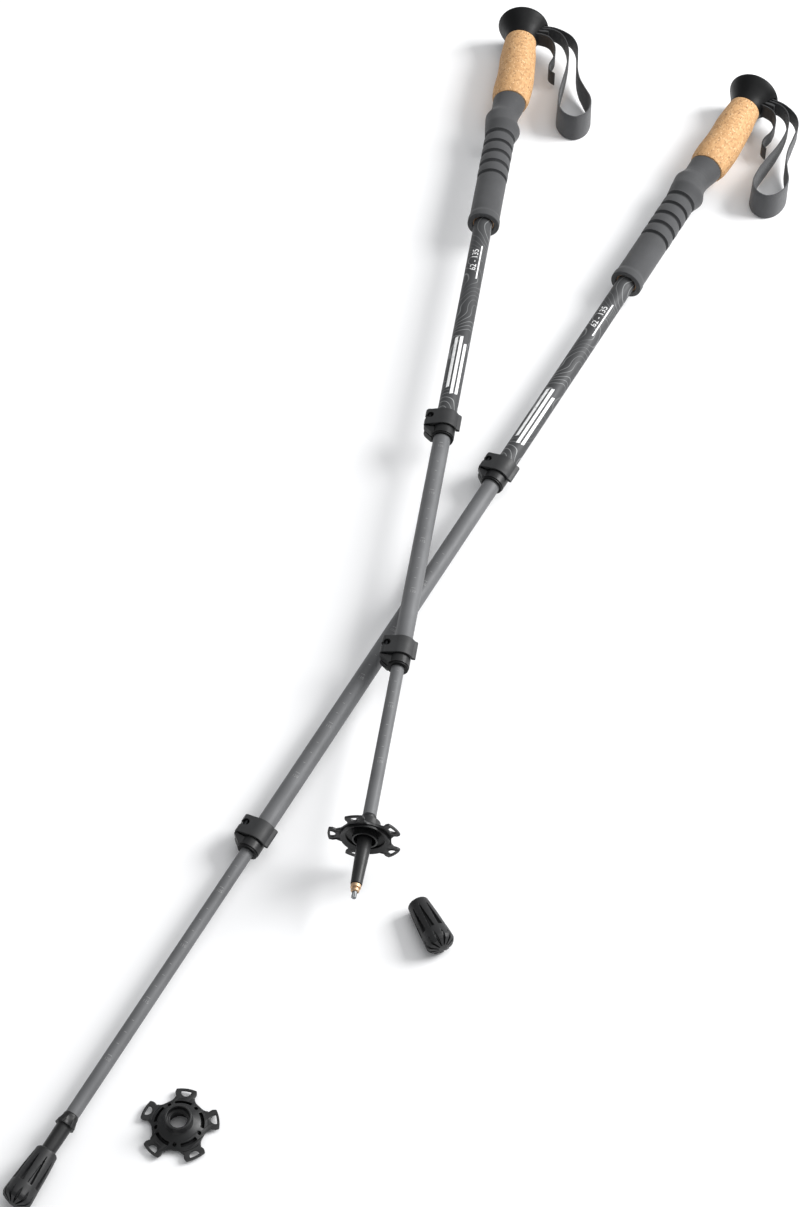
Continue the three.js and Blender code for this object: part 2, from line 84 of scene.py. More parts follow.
def linked(name, data):
    """A new object in the scene, made from a mesh, curve, light or camera."""
    made = bpy.data.objects.new(name, data)
    SCENE.collection.objects.link(made)
    return made


def mesh_of(name, points, faces):
    mesh = bpy.data.meshes.new(name)
    mesh.from_pydata(points, [], faces)
    return mesh


# ---- camera, floor and light ----

# In metres, degrees and millimetres.
CAMERA_AT = (-0.0464, -1.3062, 1.628)
CAMERA_DOWN = 52.9
CAMERA_LENS, CAMERA_SENSOR = 77.9652, 36.0
FLOOR_REACH = 12


def make_camera():
    data = bpy.data.cameras.new("camera")
    data.sensor_width = CAMERA_SENSOR
    data.lens = CAMERA_LENS
    camera = linked("camera", data)
    camera.location = CAMERA_AT
    camera.rotation_euler = (radians(90 - CAMERA_DOWN), 0, 0)
    SCENE.camera = camera


def make_floor():
    corners = [(x * FLOOR_REACH, y * FLOOR_REACH, 0) for x, y in ((-1, -1), (1, -1), (1, 1), (-1, 1))]
    floor = linked("floor", mesh_of("floor", corners, [(0, 1, 2, 3)]))
    look, shader = principled("studio_floor", (0.93, 0.93, 0.935), 0.7)
    feed(look, shader, Specular_IOR_Level=0.15)
    floor.data.materials.append(look)


def area_light(name, at, size, power):
    """A square light that faces the middle of the floor."""
    data = bpy.data.lights.new(name, "AREA")
    data.shape = "RECTANGLE"
    data.size = data.size_y = size
    data.energy = power
    light = linked(name, data)
    light.location = at
    light.rotation_euler = (-Vector(at)).to_track_quat("-Z", "Y").to_euler()


def make_light():
    world = bpy.data.worlds.new("studio")
    world.use_nodes = True
    background = world.node_tree.nodes["Background"]
    background.inputs["Color"].default_value = (0.97, 0.985, 1.0, 1)
    background.inputs["Strength"].default_value = 0.43
    SCENE.world = world
    area_light("key", (2.3, 0.5, 1.6), 1.5, 112)
    area_light("top", (0.6, 0.4, 3.0), 2.4, 26)
    SCENE.view_settings.view_transform = "Standard"


# ---- materials ----


def principled(name, color, roughness, metallic=0.0):
    look = bpy.data.materials.new(name)
    look.use_nodes = True
    shader = look.node_tree.nodes["Principled BSDF"]
    feed(look, shader, Base_Color=(*color, 1), Roughness=roughness, Metallic=metallic)
    return look, shader


def add_node(look, kind, settings=None, **inputs):
    """A node with its settings and inputs."""
    node = look.node_tree.nodes.new("ShaderNode" + kind)
    for key, value in (settings or {}).items():
        setattr(node, key, value)
    return feed(look, node, **inputs)


def feed(look, node, **inputs):
    """Sets a node's inputs, by name or as _number; each is a value or another node's output."""
    for key, value in inputs.items():
        connect(look, value, node.inputs[int(key[1:]) if key[1:].isdigit() else key.replace("_", " ")])
    return node


def connect(look, value, socket):
    if isinstance(value, bpy.types.NodeSocket):
        look.node_tree.links.new(value, socket)
    else:
        socket.default_value = value


def object_point(look, stretch=(1, 1, 1)):
    """The piece's own coordinates, in metres, stretched along its axes."""
    point = add_node(look, "TexCoord").outputs["Object"]
    return add_node(look, "Mapping", Vector=point, Scale=stretch).outputs["Vector"]


def noise(look, scale, detail, rough=0.55, stretch=(1, 1, 1)):
    point = object_point(look, stretch)
    node = add_node(look, "TexNoise", Vector=point, Scale=scale, Detail=detail, Roughness=rough)
    return node.outputs["Fac"]


def ramp(look, value, *stops):
    """A colour ramp through (position, colour or grey) stops."""
    node = add_node(look, "ValToRGB", Fac=value)
    elements = node.color_ramp.elements
    while len(elements) < len(stops):
        elements.new(0.5)
    for element, (position, color) in zip(elements, stops):
        element.position = position
        shade = (color,) * 3 if isinstance(color, float) else color
        element.color = (*shade, 1)
    return node.outputs["Color"]


def arithmetic(look, operation, a, b=0.0, c=0.0):
    node = add_node(look, "Math", {"operation": operation}, _0=a, _1=b, _2=c)
    return node.outputs["Value"]


def mix_color(look, share, a, b):
    node = add_node(look, "Mix", {"data_type": "RGBA"})
    connect(look, share, node.inputs["Factor"])
    for socket, value in ((node.inputs[6], a), (node.inputs[7], b)):
        connect(look, (*value, 1) if isinstance(value, tuple) else value, socket)
    return node.outputs[2]


def bump(look, shader, height, strength, depth):
    """Raises the surface by a height field; depth is in millimetres."""
    node = add_node(look, "Bump", Height=height, Strength=strength, Distance=depth * MM)
    feed(look, shader, Normal=node.outputs["Normal"])


def scaled(color, share):
    return tuple(share * c for c in color)


def moulded(name, color, roughness, gloss=0.35, grain=2600, strength=0.35):
    """Moulded plastic or rubber: a fine spark-eroded grain and faint handling marks."""
    look, shader = principled(name, color, roughness)
    lighter = tuple(1.3 * c + 0.001 for c in color)
    tone = ramp(look, noise(look, 55, 4), (0.3, scaled(color, 0.8)), (0.7, lighter))
    scuffs = ramp(look, noise(look, 140, 5), (0.35, roughness - 0.06), (0.7, roughness + 0.08))
    feed(look, shader, Base_Color=tone, Roughness=scuffs, Specular_IOR_Level=gloss)
    bump(look, shader, noise(look, grain, 2), strength, 0.06)
    return look


def cork_look():
    look, shader = principled("cork", (0.7, 0.42, 0.2), 0.78)
    point = object_point(look)
    grain_point = object_point(look, (1, 1, 0.7))
    cells = add_node(look, "TexVoronoi", Vector=grain_point, Scale=620.0)
    tone = ramp(look, cells.outputs["Color"],
                (0.0, (0.33, 0.175, 0.072)), (0.35, (0.47, 0.26, 0.112)),
                (0.7, (0.55, 0.32, 0.145)), (1.0, (0.66, 0.43, 0.225)))
    clouds = ramp(look, noise(look, 70, 4), (0.35, 0.0), (0.65, 0.4))
    tone = mix_color(look, clouds, tone, (0.59, 0.345, 0.158))
    fleck_cells = add_node(look, "TexVoronoi", Vector=point, Scale=330.0)
    flecks = ramp(look, fleck_cells.outputs["Distance"], (0.12, 0.8), (0.24, 0.0))
    tone = mix_color(look, flecks, tone, (0.80, 0.58, 0.35))
    pits = ramp(look, noise(look, 520, 3, 0.6, (1.3, 1.3, 0.8)),
                (0.61, 0.0), (0.68, 0.95))
    feed(look, shader, Base_Color=mix_color(look, pits, tone, (0.10, 0.045, 0.022)))
    relief = arithmetic(look, "SUBTRACT", noise(look, 900, 4), pits)
    bump(look, shader, relief, 0.55, 0.25)
    return look


def foam_look():
    look, shader = principled("eva_foam", (0.04, 0.041, 0.043), 0.8)
    point = object_point(look)
    tone = ramp(look, noise(look, 45, 5), (0.3, (0.034, 0.035, 0.037)), (0.7, (0.047, 0.048, 0.051)))
    feed(look, shader, Base_Color=tone, Sheen_Weight=0.12, Sheen_Roughness=0.6)
    cells = add_node(look, "TexVoronoi", Vector=point, Scale=2400.0).outputs["Distance"]
    bump(look, shader, cells, 0.4, 0.07)
    return look


def anodised(name, color, roughness=0.55, metallic=0.15):
    """Satin anodised tube: drawn lines along its length and soft tonal drift."""
    look, shader = principled(name, color, roughness, metallic)
    drift = noise(look, 30, 4)
    tone = ramp(look, drift, (0.3, scaled(color, 0.88)), (0.7, scaled(color, 1.12)))
    drawn = noise(look, 2200, 2, stretch=(1, 1, 0.03))
    rough = ramp(look, drawn, (0.3, roughness - 0.05), (0.7, roughness + 0.07))
    feed(look, shader, Base_Color=tone, Roughness=rough, Specular_IOR_Level=0.35)
    bump(look, shader, drawn, 0.12, 0.03)
    return look, shader, tone


def contour_print(color, line_color):
    """Dark anodised tube with thin map-like contour lines printed round it."""
    look, shader, tone = anodised("dark_anodised", color)
    along = add_node(look, "SeparateXYZ", Vector=object_point(look)).outputs["Z"]
    drift = noise(look, 26, 1.0, 0.3)
    field = arithmetic(look, "MULTIPLY_ADD", along, 105.0, arithmetic(look, "MULTIPLY", drift, 15.0))
    rings = arithmetic(look, "PINGPONG", field, 0.5)
    faint = ramp(look, noise(look, 17, 2), (0.40, 0.15), (0.58, 0.65))
    line = ramp(look, rings, (0.02, 1.0), (0.075, 0.0))
    share = arithmetic(look, "MULTIPLY", line, faint)
    feed(look, shader, Base_Color=mix_color(look, share, tone, line_color))
    return look


RIB_PITCH, THREAD_PITCH = 1.1, 0.9


def webbing_look():
    """Woven webbing: ribs across the band and threads along it."""
    look, shader = principled("webbing", (0.03, 0.031, 0.033), 0.8)
    weave = add_node(look, "UVMap", {"uv_map": "weave"}).outputs["UV"]
    parts = add_node(look, "SeparateXYZ", Vector=weave)
    along, across = parts.outputs["X"], parts.outputs["Y"]
    rib = arithmetic(look, "SINE", arithmetic(look, "MULTIPLY", along, 2 * pi / RIB_PITCH))
    threads = arithmetic(look, "SINE", arithmetic(look, "MULTIPLY", across, 2 * pi / THREAD_PITCH))
    cloth = arithmetic(look, "MULTIPLY", rib, threads)
    fuzz = noise(look, 900, 3)
    height = arithmetic(look, "ADD", cloth, fuzz)
    wide = add_node(look, "Attribute", {"attribute_name": "wide"}).outputs["Fac"]
    # Each tone is darker in the weave's hollows and lighter on its ribs: painted shade of the weave, with
    # random fibre tone from the fuzz, black on the narrow band and grey on the wrist part.
    narrow_shaded_tone = ramp(look, height, (0.2, (0.014, 0.0145, 0.016)), (0.9, (0.032, 0.033, 0.036)))
    wide_shaded_tone = ramp(look, height, (0.2, (0.040, 0.041, 0.044)), (0.9, (0.066, 0.067, 0.071)))
    feed(look, shader, Base_Color=mix_color(look, wide, narrow_shaded_tone, wide_shaded_tone),
         Sheen_Weight=0.2, Sheen_Roughness=0.5)
    bump(look, shader, height, 0.35, 0.12)
    return look


def metal(name, color, roughness):
    """Turned metal: fine rings round it and worn patches."""
    look, shader = principled(name, color, roughness, 1.0)
    rings = noise(look, 5200, 2, stretch=(0.05, 0.05, 1))
    rough = ramp(look, rings, (0.3, roughness - 0.06), (0.7, roughness + 0.1))
    wear = noise(look, 420, 4)
    tone = ramp(look, wear, (0.3, scaled(color, 0.8)), (0.7, color))
    feed(look, shader, Base_Color=tone, Roughness=rough)
    bump(look, shader, rings, 0.15, 0.03)
    return look


def ink_look(name, grey):
    look, shader = principled(name, (grey, grey, grey), 0.5)
    wear = noise(look, 260, 5)
    feed(look, shader, Base_Color=ramp(look, wear, (0.3, 0.65 * grey), (0.5, grey)))
    return look


make_camera()
make_floor()
make_light()

MOULDED = {
    # colour, roughness, gloss, grain and the grain's strength
    "black_plastic": ((0.005, 0.0052, 0.0056), 0.46, 0.15),
    "basket_plastic": ((0.010, 0.0103, 0.0108), 0.44, 0.4),
    "lock_plastic": ((0.027, 0.0275, 0.0285), 0.5, 0.3),
    # The clamp's plastic is darker than the lever's: painted shade for the shadow under the lever.
    "shaded_clamp_plastic": ((0.009, 0.0092, 0.0098), 0.42, 0.35),
    "grey_plastic": ((0.05, 0.051, 0.053), 0.45),
    "wedge_plastic": ((0.045, 0.046, 0.048), 0.5),
    "ferrule_plastic": ((0.011, 0.0112, 0.0118), 0.42),
    "rubber": ((0.013, 0.0132, 0.014), 0.5, 0.4, 1500, 0.5),
}
LOOKS = {name: moulded(name, *how) for name, how in MOULDED.items()}
LOOKS.update({
    "cork": cork_look(),
    "foam": foam_look(),
    "dark_tube": contour_print((0.05, 0.051, 0.053), (0.40, 0.41, 0.41)),
    "grey_tube": anodised("grey_anodised", (0.125, 0.127, 0.131))[0],
    "webbing": webbing_look(),
    "steel": metal("steel", (0.4, 0.41, 0.43), 0.34),
    "black_oxide": metal("black_oxide", (0.03, 0.031, 0.033), 0.45),
    "brass": metal("brass", (0.60, 0.42, 0.27), 0.46),
    "carbide": metal("carbide", (0.27, 0.28, 0.29), 0.42),
    "copper": metal("copper_ring", (0.33, 0.21, 0.13), 0.55),
    "ink": ink_look("print_ink", 0.86),
    "faint_ink": ink_look("faint_ink", 0.24),
})
# The record's slot for each look that has another name there.
SLOTS = {"basket_plastic": "black_plastic", "lock_plastic": "black_plastic",
         "shaded_clamp_plastic": "black_plastic", "wedge_plastic": "grey_plastic",
         "ferrule_plastic": "grey_plastic", "ink": "grey_plastic", "faint_ink": "grey_plastic",
         "copper": "brass", "black_oxide": "steel"}


# ---- mesh kit ----


WELD = 0.002


@contextmanager
def edited(mesh):
    """A mesh opened for editing, and written back afterwards."""
    shape = bmesh.new()
    shape.from_mesh(mesh)
    yield shape
    shape.to_mesh(mesh)
    shape.free()


def new_piece(name, points, faces):
    return welded(linked(name, mesh_of(name, points, faces)))


def welded(piece):
    """Welds doubled points and turns all faces outwards."""
    with edited(piece.data) as shape:
        bmesh.ops.remove_doubles(shape, verts=shape.verts, dist=WELD)
        bmesh.ops.dissolve_degenerate(shape, edges=shape.edges, dist=WELD)
        bmesh.ops.recalc_face_normals(shape, faces=shape.faces)
    return piece


def shade(piece, sharp=38, weigh=True):
    """Smooth shading, broken at sharp edges; large flat faces keep their own normals."""
    with edited(piece.data) as shape:
        for face in shape.faces:
            face.smooth = True
        for edge in shape.edges:
            edge.smooth = edge.calc_face_angle(pi) < radians(sharp)
    if weigh:
        piece.modifiers.new("normals", "WEIGHTED_NORMAL").keep_sharp = True
        bake(piece)
    return piece


def bake(piece):
    """Turns a piece with modifiers, or a curve or text, into a plain mesh."""
    bpy.context.view_layer.update()
    graph = bpy.context.evaluated_depsgraph_get()
    mesh = bpy.data.meshes.new_from_object(piece.evaluated_get(graph))
    if piece.type == "MESH":
        piece.modifiers.clear()
        piece.data = mesh
        return piece
    name = piece.name
    bpy.data.objects.remove(piece)
    return welded(linked(name, mesh))


def combine(piece, tool, operation="DIFFERENCE"):
    step = piece.modifiers.new("combine", "BOOLEAN")
    step.operation = operation
    step.object = tool
    step.solver = "EXACT"
    bake(piece)
    bpy.data.objects.remove(tool)
    return piece


def rounded(points, radius, steps=4, closed=False):
    """An outline with its corners rounded; an open one keeps its two ends."""
    made = []
    for i, corner in enumerate(points):
        if not closed and i in (0, len(points) - 1):
            made.append(tuple(corner))
            continue
        middle = Vector(corner)
        back = Vector(points[i - 1]) - middle
        on = Vector(points[(i + 1) % len(points)]) - middle
        cut = min(radius, 0.45 * back.length, 0.45 * on.length)
        start = middle + back.normalized() * cut
        end = middle + on.normalized() * cut
        made += bend(start, middle, end, steps)
    return made


def clipped(value):
    return min(1.0, max(0.0, value))


def bend(start, corner, end, steps):
    """Points on a curve that leaves start and reaches end as if it rounded the corner."""
    shares = [k / steps for k in range(steps + 1)]
    return [tuple((1 - t) ** 2 * start + 2 * t * (1 - t) * corner + t * t * end) for t in shares]


def spline(points, per_span=6):
    """A smooth line through points (centripetal Catmull-Rom), as a list of vectors."""
    knots = [Vector(p) for p in points]
    knots = [2 * knots[0] - knots[1], *knots, 2 * knots[-1] - knots[-2]]
    made = []
    for p0, p1, p2, p3 in zip(knots, knots[1:], knots[2:], knots[3:]):
        d0, d1, d2 = ((b - a).length ** 0.5 or 1.0 for a, b in ((p0, p1), (p1, p2), (p2, p3)))
        m1 = ((p1 - p0) / d0 - (p2 - p0) / (d0 + d1) + (p2 - p1) / d1) * d1
        m2 = ((p2 - p1) / d1 - (p3 - p1) / (d1 + d2) + (p3 - p2) / d2) * d1
        for k in range(per_span):
            t = k / per_span
            made.append(p1 * (2 * t ** 3 - 3 * t ** 2 + 1) + m1 * (t ** 3 - 2 * t ** 2 + t)
                        + p2 * (3 * t ** 2 - 2 * t ** 3) + m2 * (t ** 3 - t ** 2))
    return [*made, knots[-2]]


def value_at(rows, station, column):
    """Reads a column of rows whose first column is the station, by straight lines."""
    if station <= rows[0][0]:
        return rows[0][column]
    for low, high in zip(rows, rows[1:]):
        if station <= high[0]:
            share = (station - low[0]) / (high[0] - low[0])
            return low[column] + share * (high[column] - low[column])
    return rows[-1][column]


def finer(profile, step):
    """Splits a profile's long spans, so that a warp has points to move."""
    made = [profile[0]]
    for a, b in zip(profile, profile[1:]):
        count = max(1, round(dist(a, b) / step))
        made += [tuple(x + (y - x) * k / count for x, y in zip(a, b)) for k in range(1, count + 1)]
    return made


def turned(name, profile, ring=False, segments=SEGMENTS, warp=None):
    """A turned shape about Z from (radius, station) pairs. warp(point, angle) moves its points."""
    points, rows = [], []
    for radius, station in profile:
        count = 1 if radius < 1e-6 else segments
        rows.append(list(range(len(points), len(points) + count)))
        for k in range(count):
            angle = 2 * pi * k / segments
            point = Vector((radius * cos(angle), radius * sin(angle), station))
            points.append(warp(point, angle) if warp else point)
    faces = []
    for a, b in zip(rows, rows[1:] + rows[:1] if ring else rows[1:]):
        for k in range(segments):
            n = (k + 1) % segments
            corners = [a[k % len(a)], a[n % len(a)], b[n % len(b)], b[k % len(b)]]
            face = list(dict.fromkeys(corners))
            if len(face) > 2:
                faces.append(face)
    return new_piece(name, points, faces)


def polar(radius, bearing):
    angle = radians(bearing)
    return (radius * cos(angle), radius * sin(angle))


def arc(x, y, radius, start, end, count):
    """Points on an arc; the angles are in degrees and may run either way."""
    turns = [polar(radius, start + (end - start) * k / count) for k in range(count + 1)]
    return [(x + across, y + up) for across, up in turns]


def outline_loop(points, is_hole):
    """An outline without doubled points, run so that the material lies on its left."""
    loop = [Vector(p) for i, p in enumerate(points) if dist(p, points[i - 1]) > 0.03]
    area = sum(a.x * b.y - a.y * b.x for a, b in zip(loop, loop[1:] + loop[:1]))
    return loop[::-1] if (area < 0) != is_hole else loop


def inset(loop, depth):
    """An outline moved into its material by a depth."""
    made = []
    for i, point in enumerate(loop):
        before = (point - loop[i - 1]).normalized()
        after = (loop[(i + 1) % len(loop)] - point).normalized()
        side = Vector((-before.y - after.y, before.x + after.x))
        made.append(point + side.normalized() * (depth / max(0.6, side.length / 2)))
    return made


def plate(name, loops, low, high, edge=0.3):
    """A flat outline with holes, given thickness along Z and rounded edges."""
    loops = [outline_loop(loop, i > 0) for i, loop in enumerate(loops)]
    levels = [(edge, low), (0.3 * edge, low + 0.3 * edge), (0, low + edge),
              (0, high - edge), (0.3 * edge, high - 0.3 * edge), (edge, high)]
    points = [(*p, z) for depth, z in levels for loop in loops for p in inset(loop, depth)]
    count = sum(len(loop) for loop in loops)
    caps = tessellate_polygon([[(*p, 0) for p in inset(loop, edge)] for loop in loops])
    top = (len(levels) - 1) * count
    faces = [tuple(corners) for corners in caps] + [tuple(i + top for i in corners) for corners in caps]
    first = 0
    for loop in loops:
        size = len(loop)
        for row in range(0, top, count):
            for k in range(size):
                a, b = row + first + k, row + first + (k + 1) % size
                faces.append((a, b, b + count, a + count))
        first += size
    return new_piece(name, points, faces)


def slab(name, outline, radius, low, high, edge, steps=3):
    """A flat piece with one outline, its corners rounded by a radius."""
    return plate(name, [rounded(outline, radius, steps, closed=True)], low, high, edge)


def rod(name, radius, low, high, edge):
    profile = [(0, low), (radius, low), (radius, high), (0, high)]
    return turned(name, rounded(profile, edge, 3), segments=32)


def upright(piece, x, station):
    """Stands a piece that was made along Z upright along Y, at x and at a station."""
    turn = Matrix.Rotation(-pi / 2, 4, "X")
    piece.data.transform(Matrix.Translation((x, 0, station)) @ turn)
    return piece


def upright_outline(piece):
    """Turns an outline drawn in (x, station) so that its thickness lies along Y."""
    turn = Matrix(((1, 0, 0, 0), (0, 0, -1, 0), (0, 1, 0, 0), (0, 0, 0, 1)))
    piece.data.transform(turn)
    return piece


def box_tool(x0, x1, y0, y1, z0, z1):
    return slab("tool", [(x0, y0), (x1, y0), (x1, y1), (x0, y1)], 0.8, z0, z1, 0.2)


def place(piece, matrix, body, nodes, look, shift=0.0):
    """Brings a finished mesh to metres and to its frame, and ties it to its body and look."""
    piece.data.transform(Matrix.Scale(MM, 4) @ Matrix.Translation((0, 0, shift)))
    piece.matrix_world = matrix
    piece.data.materials.clear()
    piece.data.materials.append(LOOKS[look])
    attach(piece, body)
    SLOTS.get(look, look)
    if nodes:
        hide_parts(*nodes)
    return piece


# ---- head: pommel, pin, wedge and strap ----

POMMEL_SKIN = [(10, 2.9), (13, 3.6), (18, 5.2), (21.6, 7.3), (23.2, 10), (22.5, 12.4),
               (19, 19), (16, 25.5), (14.3, POMMEL_END)]
SLOT = Sizes(x0=5.6, x1=40, half=8.2, s0=12, s1=27.6)


def pommel(name):
    crown = rounded([(0, 2), (8.6, 2.7), (9.0, 3.2), (9.6, 3.2), (10, 2.9)], 0.3, 3)
    skin = [tuple(p) for p in spline(POMMEL_SKIN)]
    plug = rounded([(14.3, POMMEL_END), (7, POMMEL_END), (7, 50), (0, 50)], 0.5, 3)

    def lean(point, _angle):
        radius = hypot(point.x, point.y)
        if point.z < POMMEL_END - 0.01 or radius > 7.2:
            point.x += GRIP_OFFSET
        return point

    piece = turned(name, finer(crown[:-1], 2) + skin + plug[1:], warp=lean, segments=128)
    combine(piece, box_tool(SLOT.x0, SLOT.x1, -SLOT.half, SLOT.half, SLOT.s0, SLOT.s1))
    hole = rod("tool", PIN.radius + GAP, -PIN.half - GAP, PIN.half + GAP, 0.1)
    combine(piece, upright(hole, PIN.x, PIN.station))
    return shade(piece)


def strap_pin(name):
    piece = rod(name, PIN.radius, -PIN.half, PIN.half, 0.4)
    return shade(upright(piece, PIN.x, PIN.station))


def strap_wedge(name):
    """The wedge that jams the strap, with a ribbed thumb end."""
    ribs = [(23.6, 19.4), (24.1, 19.9), (24.6, 19.6), (25.1, 20.2), (25.6, 19.9), (26.5, 20.6)]
    outline = [(15, 20.2), *ribs, (26.5, 22.3), (15, 21.8)]
    return shade(upright_outline(slab(name, outline, 0.12, -7.3, 7.3, 0.12, 2)))


# Half widths of the narrow webbing and the wrist part; lean tips the wrist part's edges apart.
STRAP = Sizes(thickness=1.4, narrow=7.0, wide=13.5, clearance=0.7, lean=0.3, steps=8)

# The route in plan, as (x, station, spread, drop): spread runs from 0 on the narrow webbing
# to 1 on the wide wrist part, and drop from 0 at the slot's height to 1 on the ground.
STRAP_ROUTE = [
    (12, 14.2, 0, 0), (22, 14, 0, 0), (30, 14.2, 0, 0), (39.5, 16.8, 0, 0.05),
    (48.5, 22.7, 0, 0.1), (54, 31.9, 0.05, 0.2), (56.2, 46.3, 0.2, 0.35),
    (57.8, 60.8, 0.45, 0.6), (61.5, 74.3, 0.7, 0.8), (68.2, 87.9, 0.9, 0.95),
    (73.6, 98.5, 1, 1), (75.2, 109.2, 1, 1), (71.9, 121, 1, 1), (63.7, 127.4, 1, 1),
    (54.2, 125, 1, 1), (47.2, 115.6, 1, 1), (45.2, 98.9, 1, 1), (46, 81.2, 0.8, 0.85),
    (47.6, 61.6, 0.45, 0.6), (47.6, 44, 0.15, 0.3), (44.6, 31, 0, 0.15),
    (39, 22, 0, 0.05), (31, 17.3, 0, 0), (21, 16.6, 0, 0), (14, 16.6, 0, 0),
    (9, 17.15, 0, 0), (7.1, 20.5, 0, 0), (9, 23.85, 0, 0), (14, 24.6, 0, 0),
    (20, 24.9, 0, 0), (28, 27.2, 0, 0.05), (33.6, 34.5, 0, 0.2), (34.7, 44.5, 0, 0.45),
    (31.6, 53, 0, 0.65), (32.4, 58.8, 0, 0.75), (37.4, 62.3, 0, 0.8),
]


def strap_half(spread):
    return STRAP.narrow + spread * (STRAP.wide - STRAP.narrow)


def strap_stations(matrix):
    """Each step along the strap: middle, side, half width, spread and distance, and the flat area."""
    head, along = matrix.translation / MM, matrix.col[2].to_3d()
    path = []
    for x, station, spread, drop in STRAP_ROUTE:
        ground = -(head.z + along.z * station) + strap_half(spread) + STRAP.clearance
        path.append((x, drop * ground, station))
    line = spline(path, STRAP.steps)
    knots = [(row[2], 0, 10 * index) for index, row in enumerate(STRAP_ROUTE)]
    spreads = [p.x for p in spline(knots, STRAP.steps)]
    steps, distance, area = [], 0.0, 0.0
    for i, (middle, spread) in enumerate(zip(line, spreads)):
        ahead = line[min(i + 1, len(line) - 1)] - line[max(i - 1, 0)]
        side = Vector((ahead.z, 0, -ahead.x)).normalized()
        spread = clipped(spread)
        half = strap_half(spread)
        if i:
            pace = (middle - line[i - 1]).length
            distance += pace
            area += 2 * half * pace
        steps.append((middle, side, half, spread, distance))
    return steps, area


# The band's section, as shares of its half width and half thickness.
STRAP_SECTION = [(-1, -0.55), (-0.93, -1), (-0.5, -1), (0, -1), (0.5, -1), (0.93, -1), (1, -0.55),
                 (1, 0.55), (0.93, 1), (0.5, 1), (0, 1), (-0.5, 1), (-0.93, 1), (-1, 0.55)]


def strap(name, matrix):
    """Webbing on edge: a band with rounded selvedges that widens into the wrist part."""
    steps, area = strap_stations(matrix)
    count = len(STRAP_SECTION)
    points, weave, wide = [], [], []
    for middle, side, half, spread, distance in steps:
        for across, through in STRAP_SECTION:
            point = middle + side * (through * STRAP.thickness / 2 - STRAP.lean * spread * across)
            point.y += across * half
            points.append(point)
            weave.append((distance, across * half))
            wide.append(spread)
    faces = []
    for low in range(0, len(points) - count, count):
        for k in range(count):
            n = (k + 1) % count
            faces.append((low + k, low + n, low + count + n, low + count + k))
    faces += [list(range(count)), list(range(len(points) - count, len(points)))]
    mesh = mesh_of(name, points, faces)
    uv = mesh.uv_layers.new(name="weave")
    for loop in mesh.loops:
        uv.data[loop.index].uv = weave[loop.vertex_index]
    mesh.attributes.new("wide", "FLOAT", "POINT").data.foreach_set("value", wide)
    with edited(mesh) as shape:
        bmesh.ops.recalc_face_normals(shape, faces=shape.faces)
    return shade(linked(name, mesh), 60, weigh=False), steps[-1][4], area


# ---- grip ----

# (station, half width, sideways offset)
CORK_ROWS = [
    (POMMEL_END + GAP, 14.3, 2.1), (40, 14.9, 2.1), (50, 15.9, 2.6), (60, 16.4, 2.8),
    (70, 16.5, 3.4), (82, 16.8, 3.8), (92, 17.2, 3.6), (102, 17.2, 3.1),
    (110, 16.7, 3), (CORK_END, 15.3, 2.8),
]
# (station, reach to the left, reach to the right)
NECK_SIDES = [
    (CORK_END + GAP, 12.3, 16.9), (119, 12.2, 16.5), (122, 12.1, 15.9), (125.5, 12, 15.1),
    (129, 12.1, 14.2), (132, 12.6, 13.5), (135, 13.5, 13), (138, 15, 12.8), (139.6, 15.7, 12.8),
    (141, 15.9, 12.9), (143, 15.8, 13.2), (146, 15.5, 14), (149, 15.2, 15.1), (151.8, 14.9, 16.3),
    (153.2, 14.8, 16.7), (154.8, 14.6, 16.6), (157, 14.3, 15.9), (160, 13.9, 14.8), (163, 13.5, 13.9),
    (168, 13, 13.1),
]
NECK_ROWS = [(station, (left + right) / 2, (right - left) / 2) for station, left, right in NECK_SIDES]
FOAM_RADIUS, FOAM_STEP = 13.0, 0.45
NECK_END, LIP_START = 168, 266
GROOVES = Sizes(count=5, first=166.8, pitch=13.2, half=2.0, depth=2.5)
RECESS = Sizes(radius=9.4, start=270.5)


def sideways(rows, core):
    """Moves a grip's skin sideways as its rows say, leaving its round bore alone."""

    def warp(point, _angle):
        if hypot(point.x, point.y) > core:
            point.x += value_at(rows, point.z, 2)
        return point

    return warp


def cork_grip(name):
    rows = [tuple(row) for row in spline(CORK_ROWS)]
    start = rows[0][0]
    skin = [(half, station) for station, half, _ in rows]
    inner, outer = (GRIP_BORE, start), (GRIP_BORE, CORK_END)
    head = rounded([outer, inner, *skin[:2]], 0.5, 3)[1:-1]
    foot = rounded([skin[-2], (skin[-1][0], CORK_END), outer, inner], 0.5, 3)[1:-1]
    warp = sideways(rows, GRIP_BORE + 1)
    return shade(turned(name, head + skin[1:-1] + foot, ring=True, segments=128, warp=warp))


def groove_depth(station):
    """How deep the foam is cut at a station, and how its ribs swell between the cuts."""
    turn = (station - GROOVES.first) / GROOVES.pitch
    if turn < -0.2 or turn > GROOVES.count - 0.8:
        return 0.0
    nearest = min(max(round(turn), 0), GROOVES.count - 1)
    away = abs(turn - nearest) * GROOVES.pitch / GROOVES.half
    cut = GROOVES.depth * (1 - away ** 4) ** 0.5 if away < 1 else 0.0
    inside = 0 < turn < GROOVES.count - 1
    swell = 0.35 * sin(pi * (turn % 1)) if inside else 0.0
    return cut - swell


